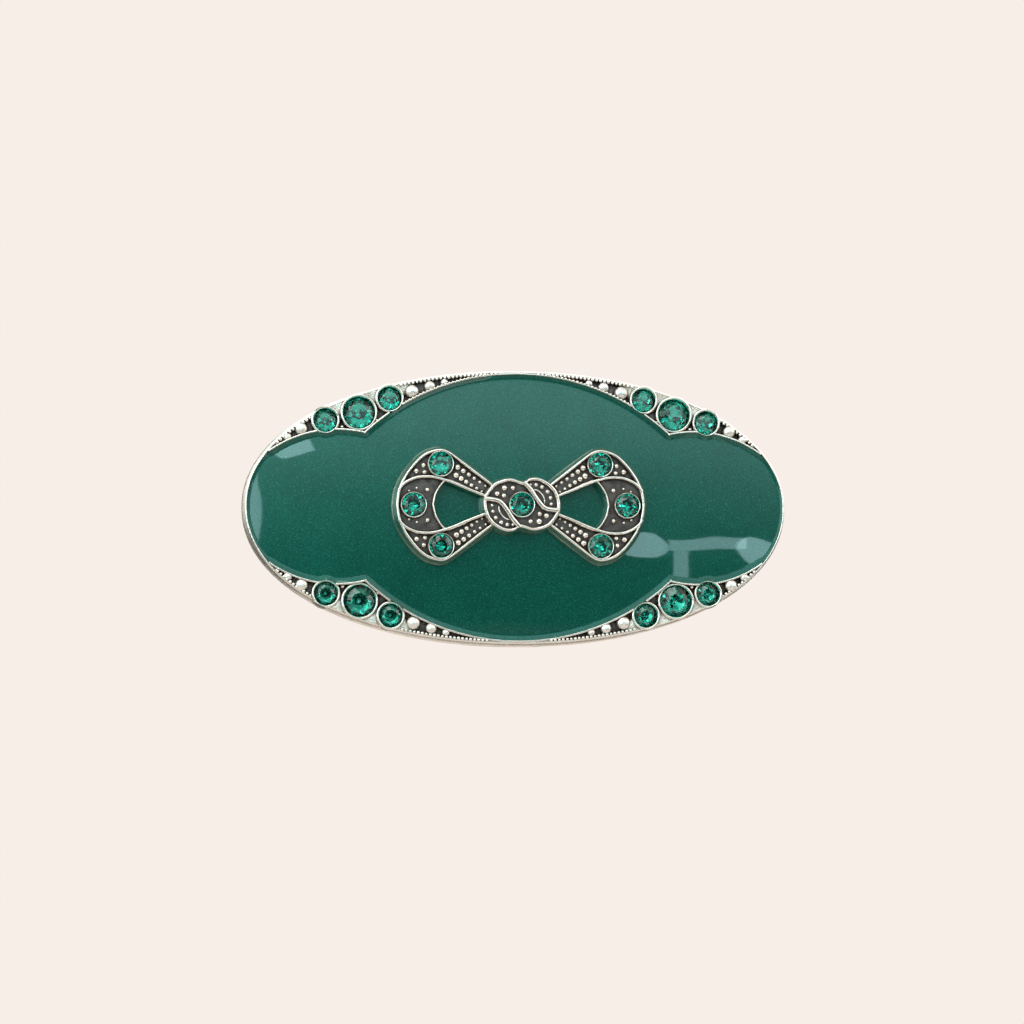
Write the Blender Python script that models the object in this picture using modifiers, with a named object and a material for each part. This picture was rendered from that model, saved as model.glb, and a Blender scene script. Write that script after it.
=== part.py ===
"""Oval French barrette: a domed cast plate with green enamel and set stones, on a hinged clip.

The clip lies upright and closed. X runs along its length, Z up, and the jewelled face
looks toward -Y. The origin is the middle of the space between the clip's two bars.
"""

import math

import bmesh
import bpy
from mathutils import Matrix, Vector

MM = 0.001  # every dimension below is in millimetres

# Oval plate
HALF_LENGTH = 38.0
HALF_HEIGHT = 19.2
OVAL_POWER = 2.08
DOME_X = 0.0018  # the face falls back by DOME_X * x^2 + DOME_Z * z^2
DOME_Z = 0.005
RIM_DRAFT = 0.5  # the rim's front edge lies this far inside its back edge
RIM_WIDTH = 0.45
ENAMEL_DEPTH = 0.9
FLOOR_DEPTH = 1.9  # from the rim's front to the back of the floor
RIM_DEPTH = 5.0  # from the crest of the dome to the flat back edge
BACK_EDGE_WIDTH = 0.9
OVAL_SEGMENTS = 56

# Enamel outline: a central lens and a lobe at each end, drawn with circle arcs
LENS_RADIUS = 31.0
LENS_DROP = 12.6
LOBE_RADIUS = 16.0
LOBE_DROP = 5.5
LOBE_X = 25.0
BORDER_WIDTH = 0.35
BORDER_TOP = 0.05  # depths under the dome
BORDER_FOOT = 1.3
BORDER_START = 3.0  # where a border line leaves the rim, and where it meets it again
BORDER_END = 34.3
TOUCH_GAP = 0.3

# Stones
SMALL_STONE = 1.55  # radii
LARGE_STONE = 2.12
BOW_STONE = 1.6
SEAT_GAP = 0.15
SEAT_WALL = 0.3
SEAT_HEIGHT = 0.1
SEAT_FOOT = 2.6  # depths under the dome
SEAT_POCKET = 1.95
BOW_SEAT_POCKET = 1.45
STONE_CROWN = 0.42  # crown height as a share of the radius
STONE_TABLE = 0.6
STONE_BACK = 0.95
BOW_STONE_BACK = 0.55
STONE_SINK = 0.45  # how far a stone's girdle lies under its seat's surface
BOW_STONE_SINK = 0.35
CORNER_STONES = (
    ("end", 26.6, 11.95, SMALL_STONE),
    ("large", 22.0, 13.0, LARGE_STONE),
    ("inner", 17.75, 15.0, SMALL_STONE),
)

# Bow ornament, around the plate's centre
BOW_BACK = -0.15
BOW_HEIGHT = 1.75
KNOT_HEIGHT = 2.1
KNOT_HALF_LENGTH = 5.3
KNOT_HALF_HEIGHT = 3.65
BOW_STONES = (("centre", 0.0, 0.0), ("top", 11.05, 5.65), ("side", 14.8, 0.0))
LOOP_OUTLINE = ((3.2, 2.3), (6.6, 4.95), (9.2, 6.85), (11.1, 7.75), (13.2, 7.1),
                (15.4, 4.8), (16.8, 2.4), (17.25, 0.0))
WINDOW_OUTLINE = ((4.6, 1.0), (7.0, 1.95), (9.0, 2.85), (10.4, 3.2), (11.6, 1.6), (12.0, 0.0))

# Clip: bars bowed like the plate as far as BOW_FLAT, straight beyond it
BOW_FLAT = 26.0
HAIR_SPACE = 7.6
BASE_HALF_LENGTH = 34.0
BASE_HALF_WIDTH = 4.0
BASE_THICKNESS = 0.8
BASE_FRONT = 3.3  # behind the crest of the dome
RIVET_X = 18.0
RIVET_RADIUS = 0.8
RIVET_HEAD_RADIUS = 1.8
RIVET_HEAD = 0.6
BOSS_RADIUS = 2.2

ARM_HALF_WIDTH = 3.1
ARM_THICKNESS = 0.9
ARM_TIP_X = 32.2
ARM_NOTCH = 1.7  # how far the leaf's notch runs past the hinge
ARM_WINDOW_GAP = 0.4
ARM_WINDOW_HALF_WIDTH = 2.2
HINGE_X = -31.5
PIN_RADIUS = 0.7
PIN_HEAD_RADIUS = 1.3
PIN_HEAD = 0.5
ARM_KNUCKLE_RADIUS = 1.6
LUG_THICKNESS = 0.6
LUG_RADIUS = 1.9

LEAF_THICKNESS = 0.4
LEAF_NECK_HALF_WIDTH = 1.05
LEAF_HALF_WIDTH = 2.0
LEAF_KNUCKLE_RADIUS = 1.4
LEAF_TIP_X = 24.0
LEAF_NECK = 2.0  # the neck's length past the hinge, and the length it widens over
LEAF_TAPER = 4.0

CATCH_X = 28.0
CATCH_HOOK_LENGTH = 2.4
CATCH_LENGTH = 6.6
CATCH_INNER = 1.2
CATCH_THICKNESS = 0.6
BARB_REACH = 0.95
BARB_HEIGHT = 0.7
WING_LENGTH = 2.1
WING_FLARE = 2.6

# Levels along Y that follow from the sizes above
BASE_BACK = -HAIR_SPACE / 2
BASE_LEVEL = BASE_BACK - BASE_THICKNESS
CREST = BASE_LEVEL - BASE_FRONT
ARM_INNER = HAIR_SPACE / 2
ARM_OUTER = ARM_INNER + ARM_THICKNESS
END_BOW = DOME_X * BOW_FLAT ** 2
HINGE_Y = ARM_OUTER + END_BOW - ARM_KNUCKLE_RADIUS
BORE_RADIUS = PIN_RADIUS + TOUCH_GAP


def clear_scene():
    for obj in list(bpy.data.objects):
        bpy.data.objects.remove(obj, do_unlink=True)
    for collection in list(bpy.data.collections):
        bpy.data.collections.remove(collection)


def new_collection(name):
    collection = bpy.data.collections.new(name)
    bpy.context.scene.collection.children.link(collection)
    return collection


def material(name, color, roughness, metallic):
    made = bpy.data.materials.new(name)
    made.use_nodes = True
    shader = made.node_tree.nodes["Principled BSDF"]
    shader.inputs["Base Color"].default_value = (*color, 1.0)
    shader.inputs["Roughness"].default_value = roughness
    shader.inputs["Metallic"].default_value = metallic
    made.diffuse_color = (*color, 1.0)
    return made


def add_mesh(name, mesh, collection, look=None):
    obj = bpy.data.objects.new(name, mesh)
    collection.objects.link(obj)
    if look:
        mesh.materials.clear()
        mesh.materials.append(look)
    return obj


def mesh_of(bm, name):
    """The bmesh as a mesh in metres, with its faces turned outward."""
    bmesh.ops.scale(bm, vec=(MM, MM, MM), verts=bm.verts)
    bmesh.ops.recalc_face_normals(bm, faces=bm.faces)
    mesh = bpy.data.meshes.new(name)
    bm.to_mesh(mesh)
    bm.free()
    return mesh


def smooth(obj, degrees=35):
    obj.data.shade_smooth()
    obj.data.set_sharp_from_angle(angle=math.radians(degrees))


def combine(target, tool, operation):
    """Joins the tool to the target, or cuts it away, and removes the tool."""
    modifier = target.modifiers.new("combine", "BOOLEAN")
    modifier.operation = operation
    modifier.object = tool
    tool.display_type = "WIRE"
    tool.hide_render = True
    bpy.context.view_layer.update()
    graph = bpy.context.evaluated_depsgraph_get()
    made = bpy.data.meshes.new_from_object(target.evaluated_get(graph))
    target.modifiers.clear()
    old = target.data
    target.data = made
    bpy.data.meshes.remove(old)
    bpy.data.objects.remove(tool, do_unlink=True)


def join_all(target, tools):
    for tool in tools:
        combine(target, tool, "UNION")


def cut_all(target, tools):
    for tool in tools:
        combine(target, tool, "DIFFERENCE")


def box(x0, x1, y0, y1, z0, z1):
    """A box between these bounds."""
    bm = bmesh.new()
    bmesh.ops.create_cube(bm, size=1.0)
    bmesh.ops.scale(bm, vec=(x1 - x0, y1 - y0, z1 - z0), verts=bm.verts)
    bmesh.ops.translate(bm, vec=((x0 + x1) / 2, (y0 + y1) / 2, (z0 + z1) / 2), verts=bm.verts)
    return add_mesh("box", mesh_of(bm, "box"), CUTTERS)


def rod(radius, start, end, sides=20, end_radius=None):
    """A round rod, or a cone, from start to end."""
    start, end = Vector(start), Vector(end)
    bm = bmesh.new()
    bmesh.ops.create_cone(bm, cap_ends=True, segments=sides, radius1=radius,
                          radius2=radius if end_radius is None else end_radius,
                          depth=(end - start).length)
    turn = (end - start).to_track_quat("Z", "Y").to_matrix().to_4x4()
    bmesh.ops.transform(bm, matrix=Matrix.Translation((start + end) / 2) @ turn, verts=bm.verts)
    return add_mesh("rod", mesh_of(bm, "rod"), CUTTERS)


def prism(outline, y0, y1):
    """An outline in the XZ plane, filled and extruded from y0 to y1."""
    curve = bpy.data.curves.new("outline", "CURVE")
    curve.dimensions = "2D"
    curve.fill_mode = "BOTH"
    curve.extrude = abs(y1 - y0) / 2 * MM
    spline = curve.splines.new("POLY")
    spline.points.add(len(outline) - 1)
    for point, (x, z) in zip(spline.points, outline):
        point.co = (x * MM, z * MM, 0.0, 1.0)
    spline.use_cyclic_u = True
    flat = bpy.data.objects.new("outline", curve)
    CUTTERS.objects.link(flat)
    flat.matrix_world = (Matrix.Translation((0.0, (y0 + y1) / 2 * MM, 0.0))
                         @ Matrix.Rotation(math.radians(90), 4, "X"))
    bpy.context.view_layer.update()
    graph = bpy.context.evaluated_depsgraph_get()
    mesh = bpy.data.meshes.new_from_object(flat.evaluated_get(graph))
    mesh.transform(flat.matrix_world)
    bm = bmesh.new()
    bm.from_mesh(mesh)
    bmesh.ops.remove_doubles(bm, verts=bm.verts, dist=0.000001)
    bmesh.ops.recalc_face_normals(bm, faces=bm.faces)
    bm.to_mesh(mesh)
    bm.free()
    bpy.data.objects.remove(flat, do_unlink=True)
    return add_mesh("prism", mesh, CUTTERS)


def bridged(rings, name):
    """A closed shape through rings of equal count; a ring of one point closes an end."""
    bm = bmesh.new()
    made = [[bm.verts.new(point) for point in ring] for ring in rings]
    for near, far in zip(made, made[1:]):
        count = max(len(near), len(far))
        for i in range(count):
            j = (i + 1) % count
            corners = [near[i % len(near)], near[j % len(near)], far[j % len(far)], far[i % len(far)]]
            bm.faces.new(list(dict.fromkeys(corners)))
    for ring in (made[0], made[-1]):
        if len(ring) > 1:
            bm.faces.new(ring)
    return mesh_of(bm, name)


def dome(x, z):
    return CREST + DOME_X * x * x + DOME_Z * z * z


def bar_bow(x):
    return DOME_X * min(abs(x), BOW_FLAT) ** 2


def oval_point(inset, angle, scale=1.0):
    power = 2 / OVAL_POWER
    c, s = math.cos(angle), math.sin(angle)
    return (math.copysign(abs(c) ** power, c) * (HALF_LENGTH - inset) * scale,
            math.copysign(abs(s) ** power, s) * (HALF_HEIGHT - inset) * scale)


def oval_half_height(x, inset):
    share = min(abs(x) / (HALF_LENGTH - inset), 1.0)
    return (HALF_HEIGHT - inset) * (1 - share ** OVAL_POWER) ** (1 / OVAL_POWER)


def arc_height(x, centre_x, drop, radius):
    across = radius ** 2 - (abs(x) - centre_x) ** 2
    return math.sqrt(across) - drop if across > 0 else -drop


def field_half_height(x, grow):
    """Half height of the enamel field at x, with its arcs grown by this much."""
    return max(arc_height(x, 0.0, LENS_DROP, LENS_RADIUS + grow),
               arc_height(x, LOBE_X, LOBE_DROP, LOBE_RADIUS + grow))


def cusp_x(grow):
    """Where the lens and the lobe arcs cross."""
    low, high = 15.0, 25.0
    for _ in range(40):
        middle = (low + high) / 2
        lens = arc_height(middle, 0.0, LENS_DROP, LENS_RADIUS + grow)
        lobe = arc_height(middle, LOBE_X, LOBE_DROP, LOBE_RADIUS + grow)
        low, high = (middle, high) if lens > lobe else (low, middle)
    return low


def spread(start, end, count):
    return [start + (end - start) * i / count for i in range(count + 1)]


def rounded(points, per_span=4):
    """Points along a Catmull-Rom curve through the given ones, which it starts and ends at."""
    padded = [points[0], *points, points[-1]]
    found = []
    for p0, p1, p2, p3 in zip(padded, padded[1:], padded[2:], padded[3:]):
        for step in range(per_span):
            t = step / per_span
            found.append(tuple(
                0.5 * (2 * b + (c - a) * t + (2 * a - 5 * b + 4 * c - d) * t * t
                       + (3 * b - a - 3 * c + d) * t ** 3)
                for a, b, c, d in zip(p0, p1, p2, p3)))
    return found + [tuple(points[-1])]


def mirrored_below(points):
    """The outline closed by its own mirror image under the X axis."""
    return points + [(x, -z) for x, z in reversed(points) if abs(z) > 1e-6]


def plate_dish():
    """The domed oval tray: enamel recess in front, hollow behind, a drafted rim around."""
    angles = [2 * math.pi * i / OVAL_SEGMENTS for i in range(OVAL_SEGMENTS)]

    def ring(inset, depth, scale=1.0, level=None):
        points = [oval_point(inset, angle, scale) for angle in angles]
        return [(x, dome(x, z) + depth if level is None else level, z) for x, z in points]

    inner = RIM_DRAFT + RIM_WIDTH
    hollow = BACK_EDGE_WIDTH + 0.5
    back = CREST + RIM_DEPTH
    rings = [[(0.0, CREST + ENAMEL_DEPTH, 0.0)]]
    rings += [ring(inner, ENAMEL_DEPTH, scale) for scale in (0.25, 0.5, 0.75, 1.0)]
    rings += [ring(inner - 0.05, 0.0), ring(RIM_DRAFT + 0.15, 0.0), ring(RIM_DRAFT, 0.15)]
    rings += [ring(0.0, 0.0, 1.0, back - 0.2), ring(0.15, 0.0, 1.0, back)]
    rings += [ring(BACK_EDGE_WIDTH, 0.0, 1.0, back)]
    rings += [ring(hollow, FLOOR_DEPTH, scale) for scale in (1.0, 0.75, 0.5, 0.25)]
    rings += [[(0.0, CREST + FLOOR_DEPTH, 0.0)]]
    return bridged(rings, "frame_plate")


def border_wall(side_x, side_z):
    """The raised line that parts the enamel from one corner panel, with its cusp."""
    grow = BORDER_WIDTH / 2
    turn = cusp_x(grow)
    xs = spread(BORDER_START, turn, 12) + spread(turn, BORDER_END, 10)[1:]
    path = [Vector((x, field_half_height(x, grow))) for x in xs]
    rings = []
    for i, point in enumerate(path):
        before = (point - path[max(i - 1, 0)]).normalized()
        after = (path[min(i + 1, len(path) - 1)] - point).normalized()
        along = (before + after).normalized()
        at_end = not (before.length and after.length)
        miter = 1.0 if at_end else min(1 / max(abs(along.dot(after)), 0.5), 2.0)
        across = Vector((-along.y, along.x)) * (BORDER_WIDTH / 2 * miter)
        inner, outer = point - across, point + across
        rings.append([
            (x * side_x, dome(x, z) + depth, z * side_z)
            for (x, z), depth in ((inner, BORDER_TOP), (outer, BORDER_TOP),
                                  (outer, BORDER_FOOT), (inner, BORDER_FOOT))])
    return add_mesh("border", bridged(rings, "border"), CUTTERS)


def corner_places():
    for name, x, z, radius in CORNER_STONES:
        for end, side_x in (("left", -1), ("right", 1)):
            for level, side_z in (("top", 1), ("bottom", -1)):
                yield f"stone_{name}_{level}_{end}", x * side_x, z * side_z, radius


def oval_blank():
    """The solid oval that everything cast with the plate stays inside."""
    angles = [2 * math.pi * i / OVAL_SEGMENTS for i in range(OVAL_SEGMENTS)]
    levels = (CREST - 1.0, CREST + RIM_DEPTH + 0.05)
    rings = [[(x, y, z) for x, z in (oval_point(-0.03, angle) for angle in angles)] for y in levels]
    return add_mesh("blank", bridged(rings, "blank"), CUTTERS)


def build_frame_plate(collection, look):
    plate = add_mesh("frame_plate", plate_dish(), collection, look)
    join_all(plate, [border_wall(x, z) for x in (-1, 1) for z in (-1, 1)])
    for _, x, z, radius in corner_places():
        front = dome(x, z)
        outer = radius + SEAT_GAP + SEAT_WALL
        combine(plate, rod(outer, (x, front - SEAT_HEIGHT, z), (x, front + SEAT_FOOT, z), 16), "UNION")
    combine(plate, oval_blank(), "INTERSECT")
    for _, x, z, radius in corner_places():
        front = dome(x, z)
        cut = rod(radius + SEAT_GAP, (x, front - 1.0, z), (x, front + SEAT_POCKET, z), 16)
        combine(plate, cut, "DIFFERENCE")
    for x in (-RIVET_X, RIVET_X):
        boss_top = BASE_LEVEL + bar_bow(x) - TOUCH_GAP
        floor = dome(x, 0.0) + FLOOR_DEPTH
        combine(plate, rod(BOSS_RADIUS, (x, floor - 0.5, 0.0), (x, boss_top, 0.0), 16), "UNION")
        hole = rod(RIVET_RADIUS + TOUCH_GAP, (x, boss_top - 1.4, 0.0), (x, boss_top + 1.0, 0.0), 16)
        combine(plate, hole, "DIFFERENCE")
    smooth(plate)


def build_enamel(collection, look):
    """The poured enamel: a thin domed sheet inside the border lines."""
    inset = RIM_DRAFT + RIM_WIDTH + TOUCH_GAP
    end = HALF_LENGTH - inset - 0.4
    turn = cusp_x(-TOUCH_GAP)
    half = spread(0.0, turn, 10) + spread(turn, end, 9)[1:]
    columns = [-x for x in reversed(half[1:])] + half
    rings = []
    for x in columns:
        height = min(field_half_height(x, -TOUCH_GAP), oval_half_height(x, inset))
        rows = spread(-height, height, 6)
        front = [(x, dome(x, z) + 0.15, z) for z in rows]
        back = [(x, dome(x, z) + ENAMEL_DEPTH - TOUCH_GAP, z) for z in reversed(rows)]
        rings.append(front + back)
    enamel = add_mesh("enamel", bridged(rings, "enamel"), collection, look)
    for _, x, z, radius in corner_places():
        clear = radius + SEAT_GAP + SEAT_WALL + TOUCH_GAP
        if abs(x) > 25.0:  # only the end seats reach into the enamel's edge
            combine(enamel, rod(clear, (x, CREST - 1.0, z), (x, CREST + 6.0, z), 24), "DIFFERENCE")
    smooth(enamel)


def follow_dome(obj):
    """Bends a flat shape onto the plate's dome."""
    for vertex in obj.data.vertices:
        x, _, z = vertex.co / MM
        vertex.co.y += (dome(x, z) - CREST) * MM


def bow_places():
    for name, x, z in BOW_STONES:
        sides_x = (("left", -1), ("right", 1)) if x else (("", 1),)
        sides_z = (("top", 1), ("bottom", -1)) if z else (("", 1),)
        for end, side_x in sides_x:
            for level, side_z in sides_z:
                words = ["stone_bow", *(("centre",) if not x else ()), level, end]
                yield "_".join(word for word in words if word), x * side_x, z * side_z


def build_bow(collection, look):
    """The bow, cast in one piece: two open loops and a knot, with a seat for each stone."""
    back = CREST + BOW_BACK
    outline = mirrored_below(rounded(LOOP_OUTLINE))
    window = mirrored_below(rounded(WINDOW_OUTLINE))
    knot = [(KNOT_HALF_LENGTH * math.cos(a), KNOT_HALF_HEIGHT * math.sin(a))
            for a in (2 * math.pi * i / 32 for i in range(32))]
    bow = prism(knot, back - KNOT_HEIGHT, back)
    bow.name = "bow_ornament"
    CUTTERS.objects.unlink(bow)
    collection.objects.link(bow)
    for side in (-1, 1):
        loop = prism([(x * side, z) for x, z in outline], back - BOW_HEIGHT, back)
        combine(loop, prism([(x * side, z) for x, z in window], back - 3.0, back + 1.0), "DIFFERENCE")
        combine(bow, loop, "UNION")
    for name, x, z in bow_places():
        top = back - (KNOT_HEIGHT if "centre" in name else BOW_HEIGHT) - SEAT_HEIGHT
        outer = BOW_STONE + SEAT_GAP + SEAT_WALL
        combine(bow, rod(outer, (x, back - 0.2, z), (x, top, z), 16), "UNION")
        pocket = rod(BOW_STONE + SEAT_GAP, (x, top + BOW_SEAT_POCKET, z), (x, top - 1.0, z), 16)
        combine(bow, pocket, "DIFFERENCE")
    follow_dome(bow)
    bow.data.materials.clear()
    bow.data.materials.append(look)
    smooth(bow)


def stone_mesh(name, radius, depth):
    """A brilliant stone around +Z: table, crown, girdle at 0 and a blunt pavilion."""
    crown = STONE_CROWN * radius
    profile = [(0.0, crown), (STONE_TABLE * radius, crown), (radius, 0.04 * radius),
               (radius, -0.04 * radius), (0.4 * radius, -depth), (0.0, -depth)]
    mesh = bpy.data.meshes.new(name)
    points = [(x * MM, 0.0, z * MM) for x, z in profile]
    mesh.from_pydata(points, [(i, i + 1) for i in range(len(points) - 1)], [])
    obj = add_mesh(name, mesh, CUTTERS)
    screw = obj.modifiers.new("turn", "SCREW")
    screw.steps = screw.render_steps = 16
    screw.use_merge_vertices = True
    screw.merge_threshold = 0.00001
    bpy.context.view_layer.update()
    graph = bpy.context.evaluated_depsgraph_get()
    made = bpy.data.meshes.new_from_object(obj.evaluated_get(graph))
    made.name = name
    bpy.data.objects.remove(obj, do_unlink=True)
    return made


def build_stones(collection, look):
    meshes = {radius: stone_mesh(f"stone_{radius}", radius, STONE_BACK)
              for radius in (SMALL_STONE, LARGE_STONE)}
    bow_mesh = stone_mesh("stone_bow", BOW_STONE, BOW_STONE_BACK)
    placed = [(name, x, dome(x, z) + STONE_SINK, z, meshes[radius])
              for name, x, z, radius in corner_places()]
    for name, x, z in bow_places():
        height = KNOT_HEIGHT if "centre" in name else BOW_HEIGHT
        placed.append((name, x, dome(x, z) + BOW_BACK - height + BOW_STONE_SINK, z, bow_mesh))
    for name, x, y, z, mesh in placed:
        stone = bpy.data.objects.new(name, mesh)
        collection.objects.link(stone)
        if not mesh.materials:
            mesh.materials.append(look)
        stone.location = (x * MM, y * MM, z * MM)
        stone.rotation_euler = (math.radians(90), 0.0, 0.0)


def bend_bar(obj, centre_span=5.6):
    """Slices a straight bar along X, then bows it like the plate. The middle slice stays flat."""
    bm = bmesh.new()
    bm.from_mesh(obj.data)
    x = centre_span / 2
    cuts = []
    while x < BOW_FLAT + 0.1:
        cuts += [x, -x]
        x += (BOW_FLAT - centre_span / 2) / 5
    for cut in cuts:
        bmesh.ops.bisect_plane(bm, geom=bm.verts[:] + bm.edges[:] + bm.faces[:], dist=1e-7,
                               plane_co=(cut * MM, 0.0, 0.0), plane_no=(1.0, 0.0, 0.0))
    for vertex in bm.verts:
        along = max(abs(vertex.co.x) / MM, centre_span / 2)
        vertex.co.y += bar_bow(along) * MM
    bm.to_mesh(obj.data)
    bm.free()


def move_origin(obj, x, y, z):
    """Puts the object's origin on its joint without moving the shape."""
    point = Vector((x, y, z)) * MM
    obj.data.transform(Matrix.Translation(-point))
    obj.location = point


def take(obj, name, collection, look):
    """Makes a shape from the cutters into a named part."""
    obj.name = name
    CUTTERS.objects.unlink(obj)
    collection.objects.link(obj)
    obj.hide_render = False
    obj.display_type = "TEXTURED"
    obj.data.materials.clear()
    obj.data.materials.append(look)
    smooth(obj)
    return obj


def build_clip_base(collection, look):
    """The fixed bar, riveted behind the plate, with two lugs for the hinge pin."""
    base = box(-BASE_HALF_LENGTH, CATCH_X + CATCH_LENGTH, BASE_LEVEL, BASE_BACK,
               -BASE_HALF_WIDTH, BASE_HALF_WIDTH)
    hole = RIVET_RADIUS + TOUCH_GAP
    cut_all(base, [rod(hole, (x, BASE_LEVEL - 1.0, 0.0), (x, BASE_BACK + 1.0, 0.0), 16)
                   for x in (-RIVET_X, RIVET_X)])
    bend_bar(base)
    lug_inner = BASE_HALF_WIDTH - LUG_THICKNESS
    foot = BASE_LEVEL + END_BOW + 0.1
    for side in (-1, 1):
        z0, z1 = sorted((side * lug_inner, side * BASE_HALF_WIDTH))
        lug = box(HINGE_X - LUG_RADIUS, HINGE_X + LUG_RADIUS, foot, HINGE_Y, z0, z1)
        combine(lug, rod(LUG_RADIUS, (HINGE_X, HINGE_Y, z0), (HINGE_X, HINGE_Y, z1), 24), "UNION")
        combine(base, lug, "UNION")
    combine(base, rod(BORE_RADIUS, (HINGE_X, HINGE_Y, -5.0), (HINGE_X, HINGE_Y, 5.0), 20), "DIFFERENCE")
    take(base, "clip_base", collection, look)


def build_hinge_pin(collection, look):
    inner = BASE_HALF_WIDTH + TOUCH_GAP
    outer = inner + PIN_HEAD
    pin = rod(PIN_RADIUS, (HINGE_X, HINGE_Y, -outer), (HINGE_X, HINGE_Y, outer))
    for side in (-1, 1):
        head = rod(PIN_HEAD_RADIUS, (HINGE_X, HINGE_Y, side * inner), (HINGE_X, HINGE_Y, side * outer))
        combine(pin, head, "UNION")
    take(pin, "hinge_pin", collection, look)


def build_rivets(collection, look):
    for name, x in (("rivet_left", -RIVET_X), ("rivet_right", RIVET_X)):
        bow = bar_bow(x)
        start = BASE_LEVEL + bow - TOUCH_GAP - 1.1
        seat = BASE_BACK + bow + TOUCH_GAP
        rivet = rod(RIVET_RADIUS, (x, start, 0.0), (x, seat + 0.2, 0.0), 16)
        head = rod(RIVET_HEAD_RADIUS, (x, seat, 0.0), (x, seat + RIVET_HEAD, 0.0), 16,
                   RIVET_HEAD_RADIUS * 0.6)
        combine(rivet, head, "UNION")
        take(rivet, name, collection, look)


def build_clip_arm(collection, look):
    """The closing arm: a flat bar with two knuckles on the pin and a window at its tip."""
    arm = box(HINGE_X, ARM_TIP_X, ARM_INNER, ARM_OUTER, -ARM_HALF_WIDTH, ARM_HALF_WIDTH)
    notch = LEAF_NECK_HALF_WIDTH + TOUCH_GAP
    under, over = ARM_INNER - 1.0, ARM_OUTER + 1.0
    combine(arm, box(HINGE_X - 5.0, HINGE_X + ARM_NOTCH, under, over, -notch, notch), "DIFFERENCE")
    hook_end = CATCH_X + CATCH_HOOK_LENGTH
    half = ARM_WINDOW_HALF_WIDTH
    window = box(CATCH_X - ARM_WINDOW_GAP, hook_end + ARM_WINDOW_GAP, under, over, -half, half)
    combine(arm, window, "DIFFERENCE")
    bend_bar(arm)
    for side in (-1, 1):
        near, far = side * notch, side * ARM_HALF_WIDTH
        knuckle = rod(ARM_KNUCKLE_RADIUS, (HINGE_X, HINGE_Y, near), (HINGE_X, HINGE_Y, far), 24)
        combine(arm, knuckle, "UNION")
    combine(arm, rod(BORE_RADIUS, (HINGE_X, HINGE_Y, -5.0), (HINGE_X, HINGE_Y, 5.0), 20), "DIFFERENCE")
    take(arm, "clip_arm", collection, look)
    move_origin(arm, HINGE_X, HINGE_Y, 0.0)


def leaf_line():
    """The bowed line of the tension leaf, from its knuckle to its free tip."""
    start = (HINGE_X, HINGE_Y - LEAF_KNUCKLE_RADIUS + LEAF_THICKNESS / 2)
    top = (-2.0, ARM_INNER + 0.9)
    tip = (LEAF_TIP_X, BASE_BACK + bar_bow(LEAF_TIP_X) + LEAF_THICKNESS / 2 + 0.4)
    line = []
    for t in spread(0.0, 1.0, 14):
        line.append(tuple((1 - t) ** 2 * a + 2 * t * (1 - t) * b + t * t * c
                          for a, b, c in zip(start, top, tip)))
    return line + [(LEAF_TIP_X + 2.0, tip[1] + 0.15)]


def build_tension_leaf(collection, look):
    """The bowed spring leaf that presses the hair against the arm."""
    rings = []
    for x, y in leaf_line():
        share = min(max((x - HINGE_X - LEAF_NECK) / LEAF_TAPER, 0.0), 1.0)
        width = LEAF_NECK_HALF_WIDTH + (LEAF_HALF_WIDTH - LEAF_NECK_HALF_WIDTH) * share
        low, high = y - LEAF_THICKNESS / 2, y + LEAF_THICKNESS / 2
        rings.append([(x, low, -width), (x, high, -width), (x, high, width), (x, low, width)])
    leaf = add_mesh("leaf", bridged(rings, "leaf"), CUTTERS)
    z = LEAF_NECK_HALF_WIDTH
    combine(leaf, rod(LEAF_KNUCKLE_RADIUS, (HINGE_X, HINGE_Y, -z), (HINGE_X, HINGE_Y, z), 24), "UNION")
    combine(leaf, rod(BORE_RADIUS, (HINGE_X, HINGE_Y, -5.0), (HINGE_X, HINGE_Y, 5.0), 20), "DIFFERENCE")
    take(leaf, "tension_leaf", collection, look)
    move_origin(leaf, HINGE_X, HINGE_Y, 0.0)


def catch_blade(side):
    """One blade of the catch: an upright plate, a barbed hook and a flared pinch wing."""
    root = BASE_BACK + END_BOW + TOUCH_GAP
    shoulder = ARM_INNER + END_BOW - 0.6
    hook_base = ARM_OUTER + END_BOW + TOUCH_GAP
    inner, outer = CATCH_INNER, CATCH_INNER + CATCH_THICKNESS
    end = CATCH_X + CATCH_LENGTH

    def turned(points, x0, x1):
        rings = [[(x, y, z * side) for y, z in points] for x in (x0, x1)]
        return add_mesh("blade", bridged(rings, "blade"), CUTTERS)

    plate = turned([(root, inner), (root, outer), (shoulder, outer), (shoulder, inner)], CATCH_X, end)
    top = hook_base + BARB_HEIGHT
    hook = turned([(shoulder - 0.2, inner), (shoulder - 0.2, outer), (hook_base, outer),
                   (hook_base, outer + BARB_REACH), (top, outer + 0.1), (top, inner)],
                  CATCH_X, CATCH_X + CATCH_HOOK_LENGTH)
    wing = turned([(shoulder - 0.3, inner), (shoulder - 0.3, outer), (shoulder + 0.2, outer),
                   (shoulder + WING_FLARE, outer + WING_FLARE),
                   (shoulder + WING_FLARE + 0.3, outer + WING_FLARE - 0.4), (shoulder + 0.4, inner)],
                  end - WING_LENGTH, end)
    join_all(plate, [hook, wing])
    return plate


def build_catch(collection, look):
    for name, side in (("catch_upper", 1), ("catch_lower", -1)):
        blade = take(catch_blade(side), name, collection, look)
        middle = CATCH_INNER + CATCH_THICKNESS / 2
        move_origin(blade, CATCH_X, BASE_BACK + END_BOW + TOUCH_GAP, side * middle)


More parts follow.
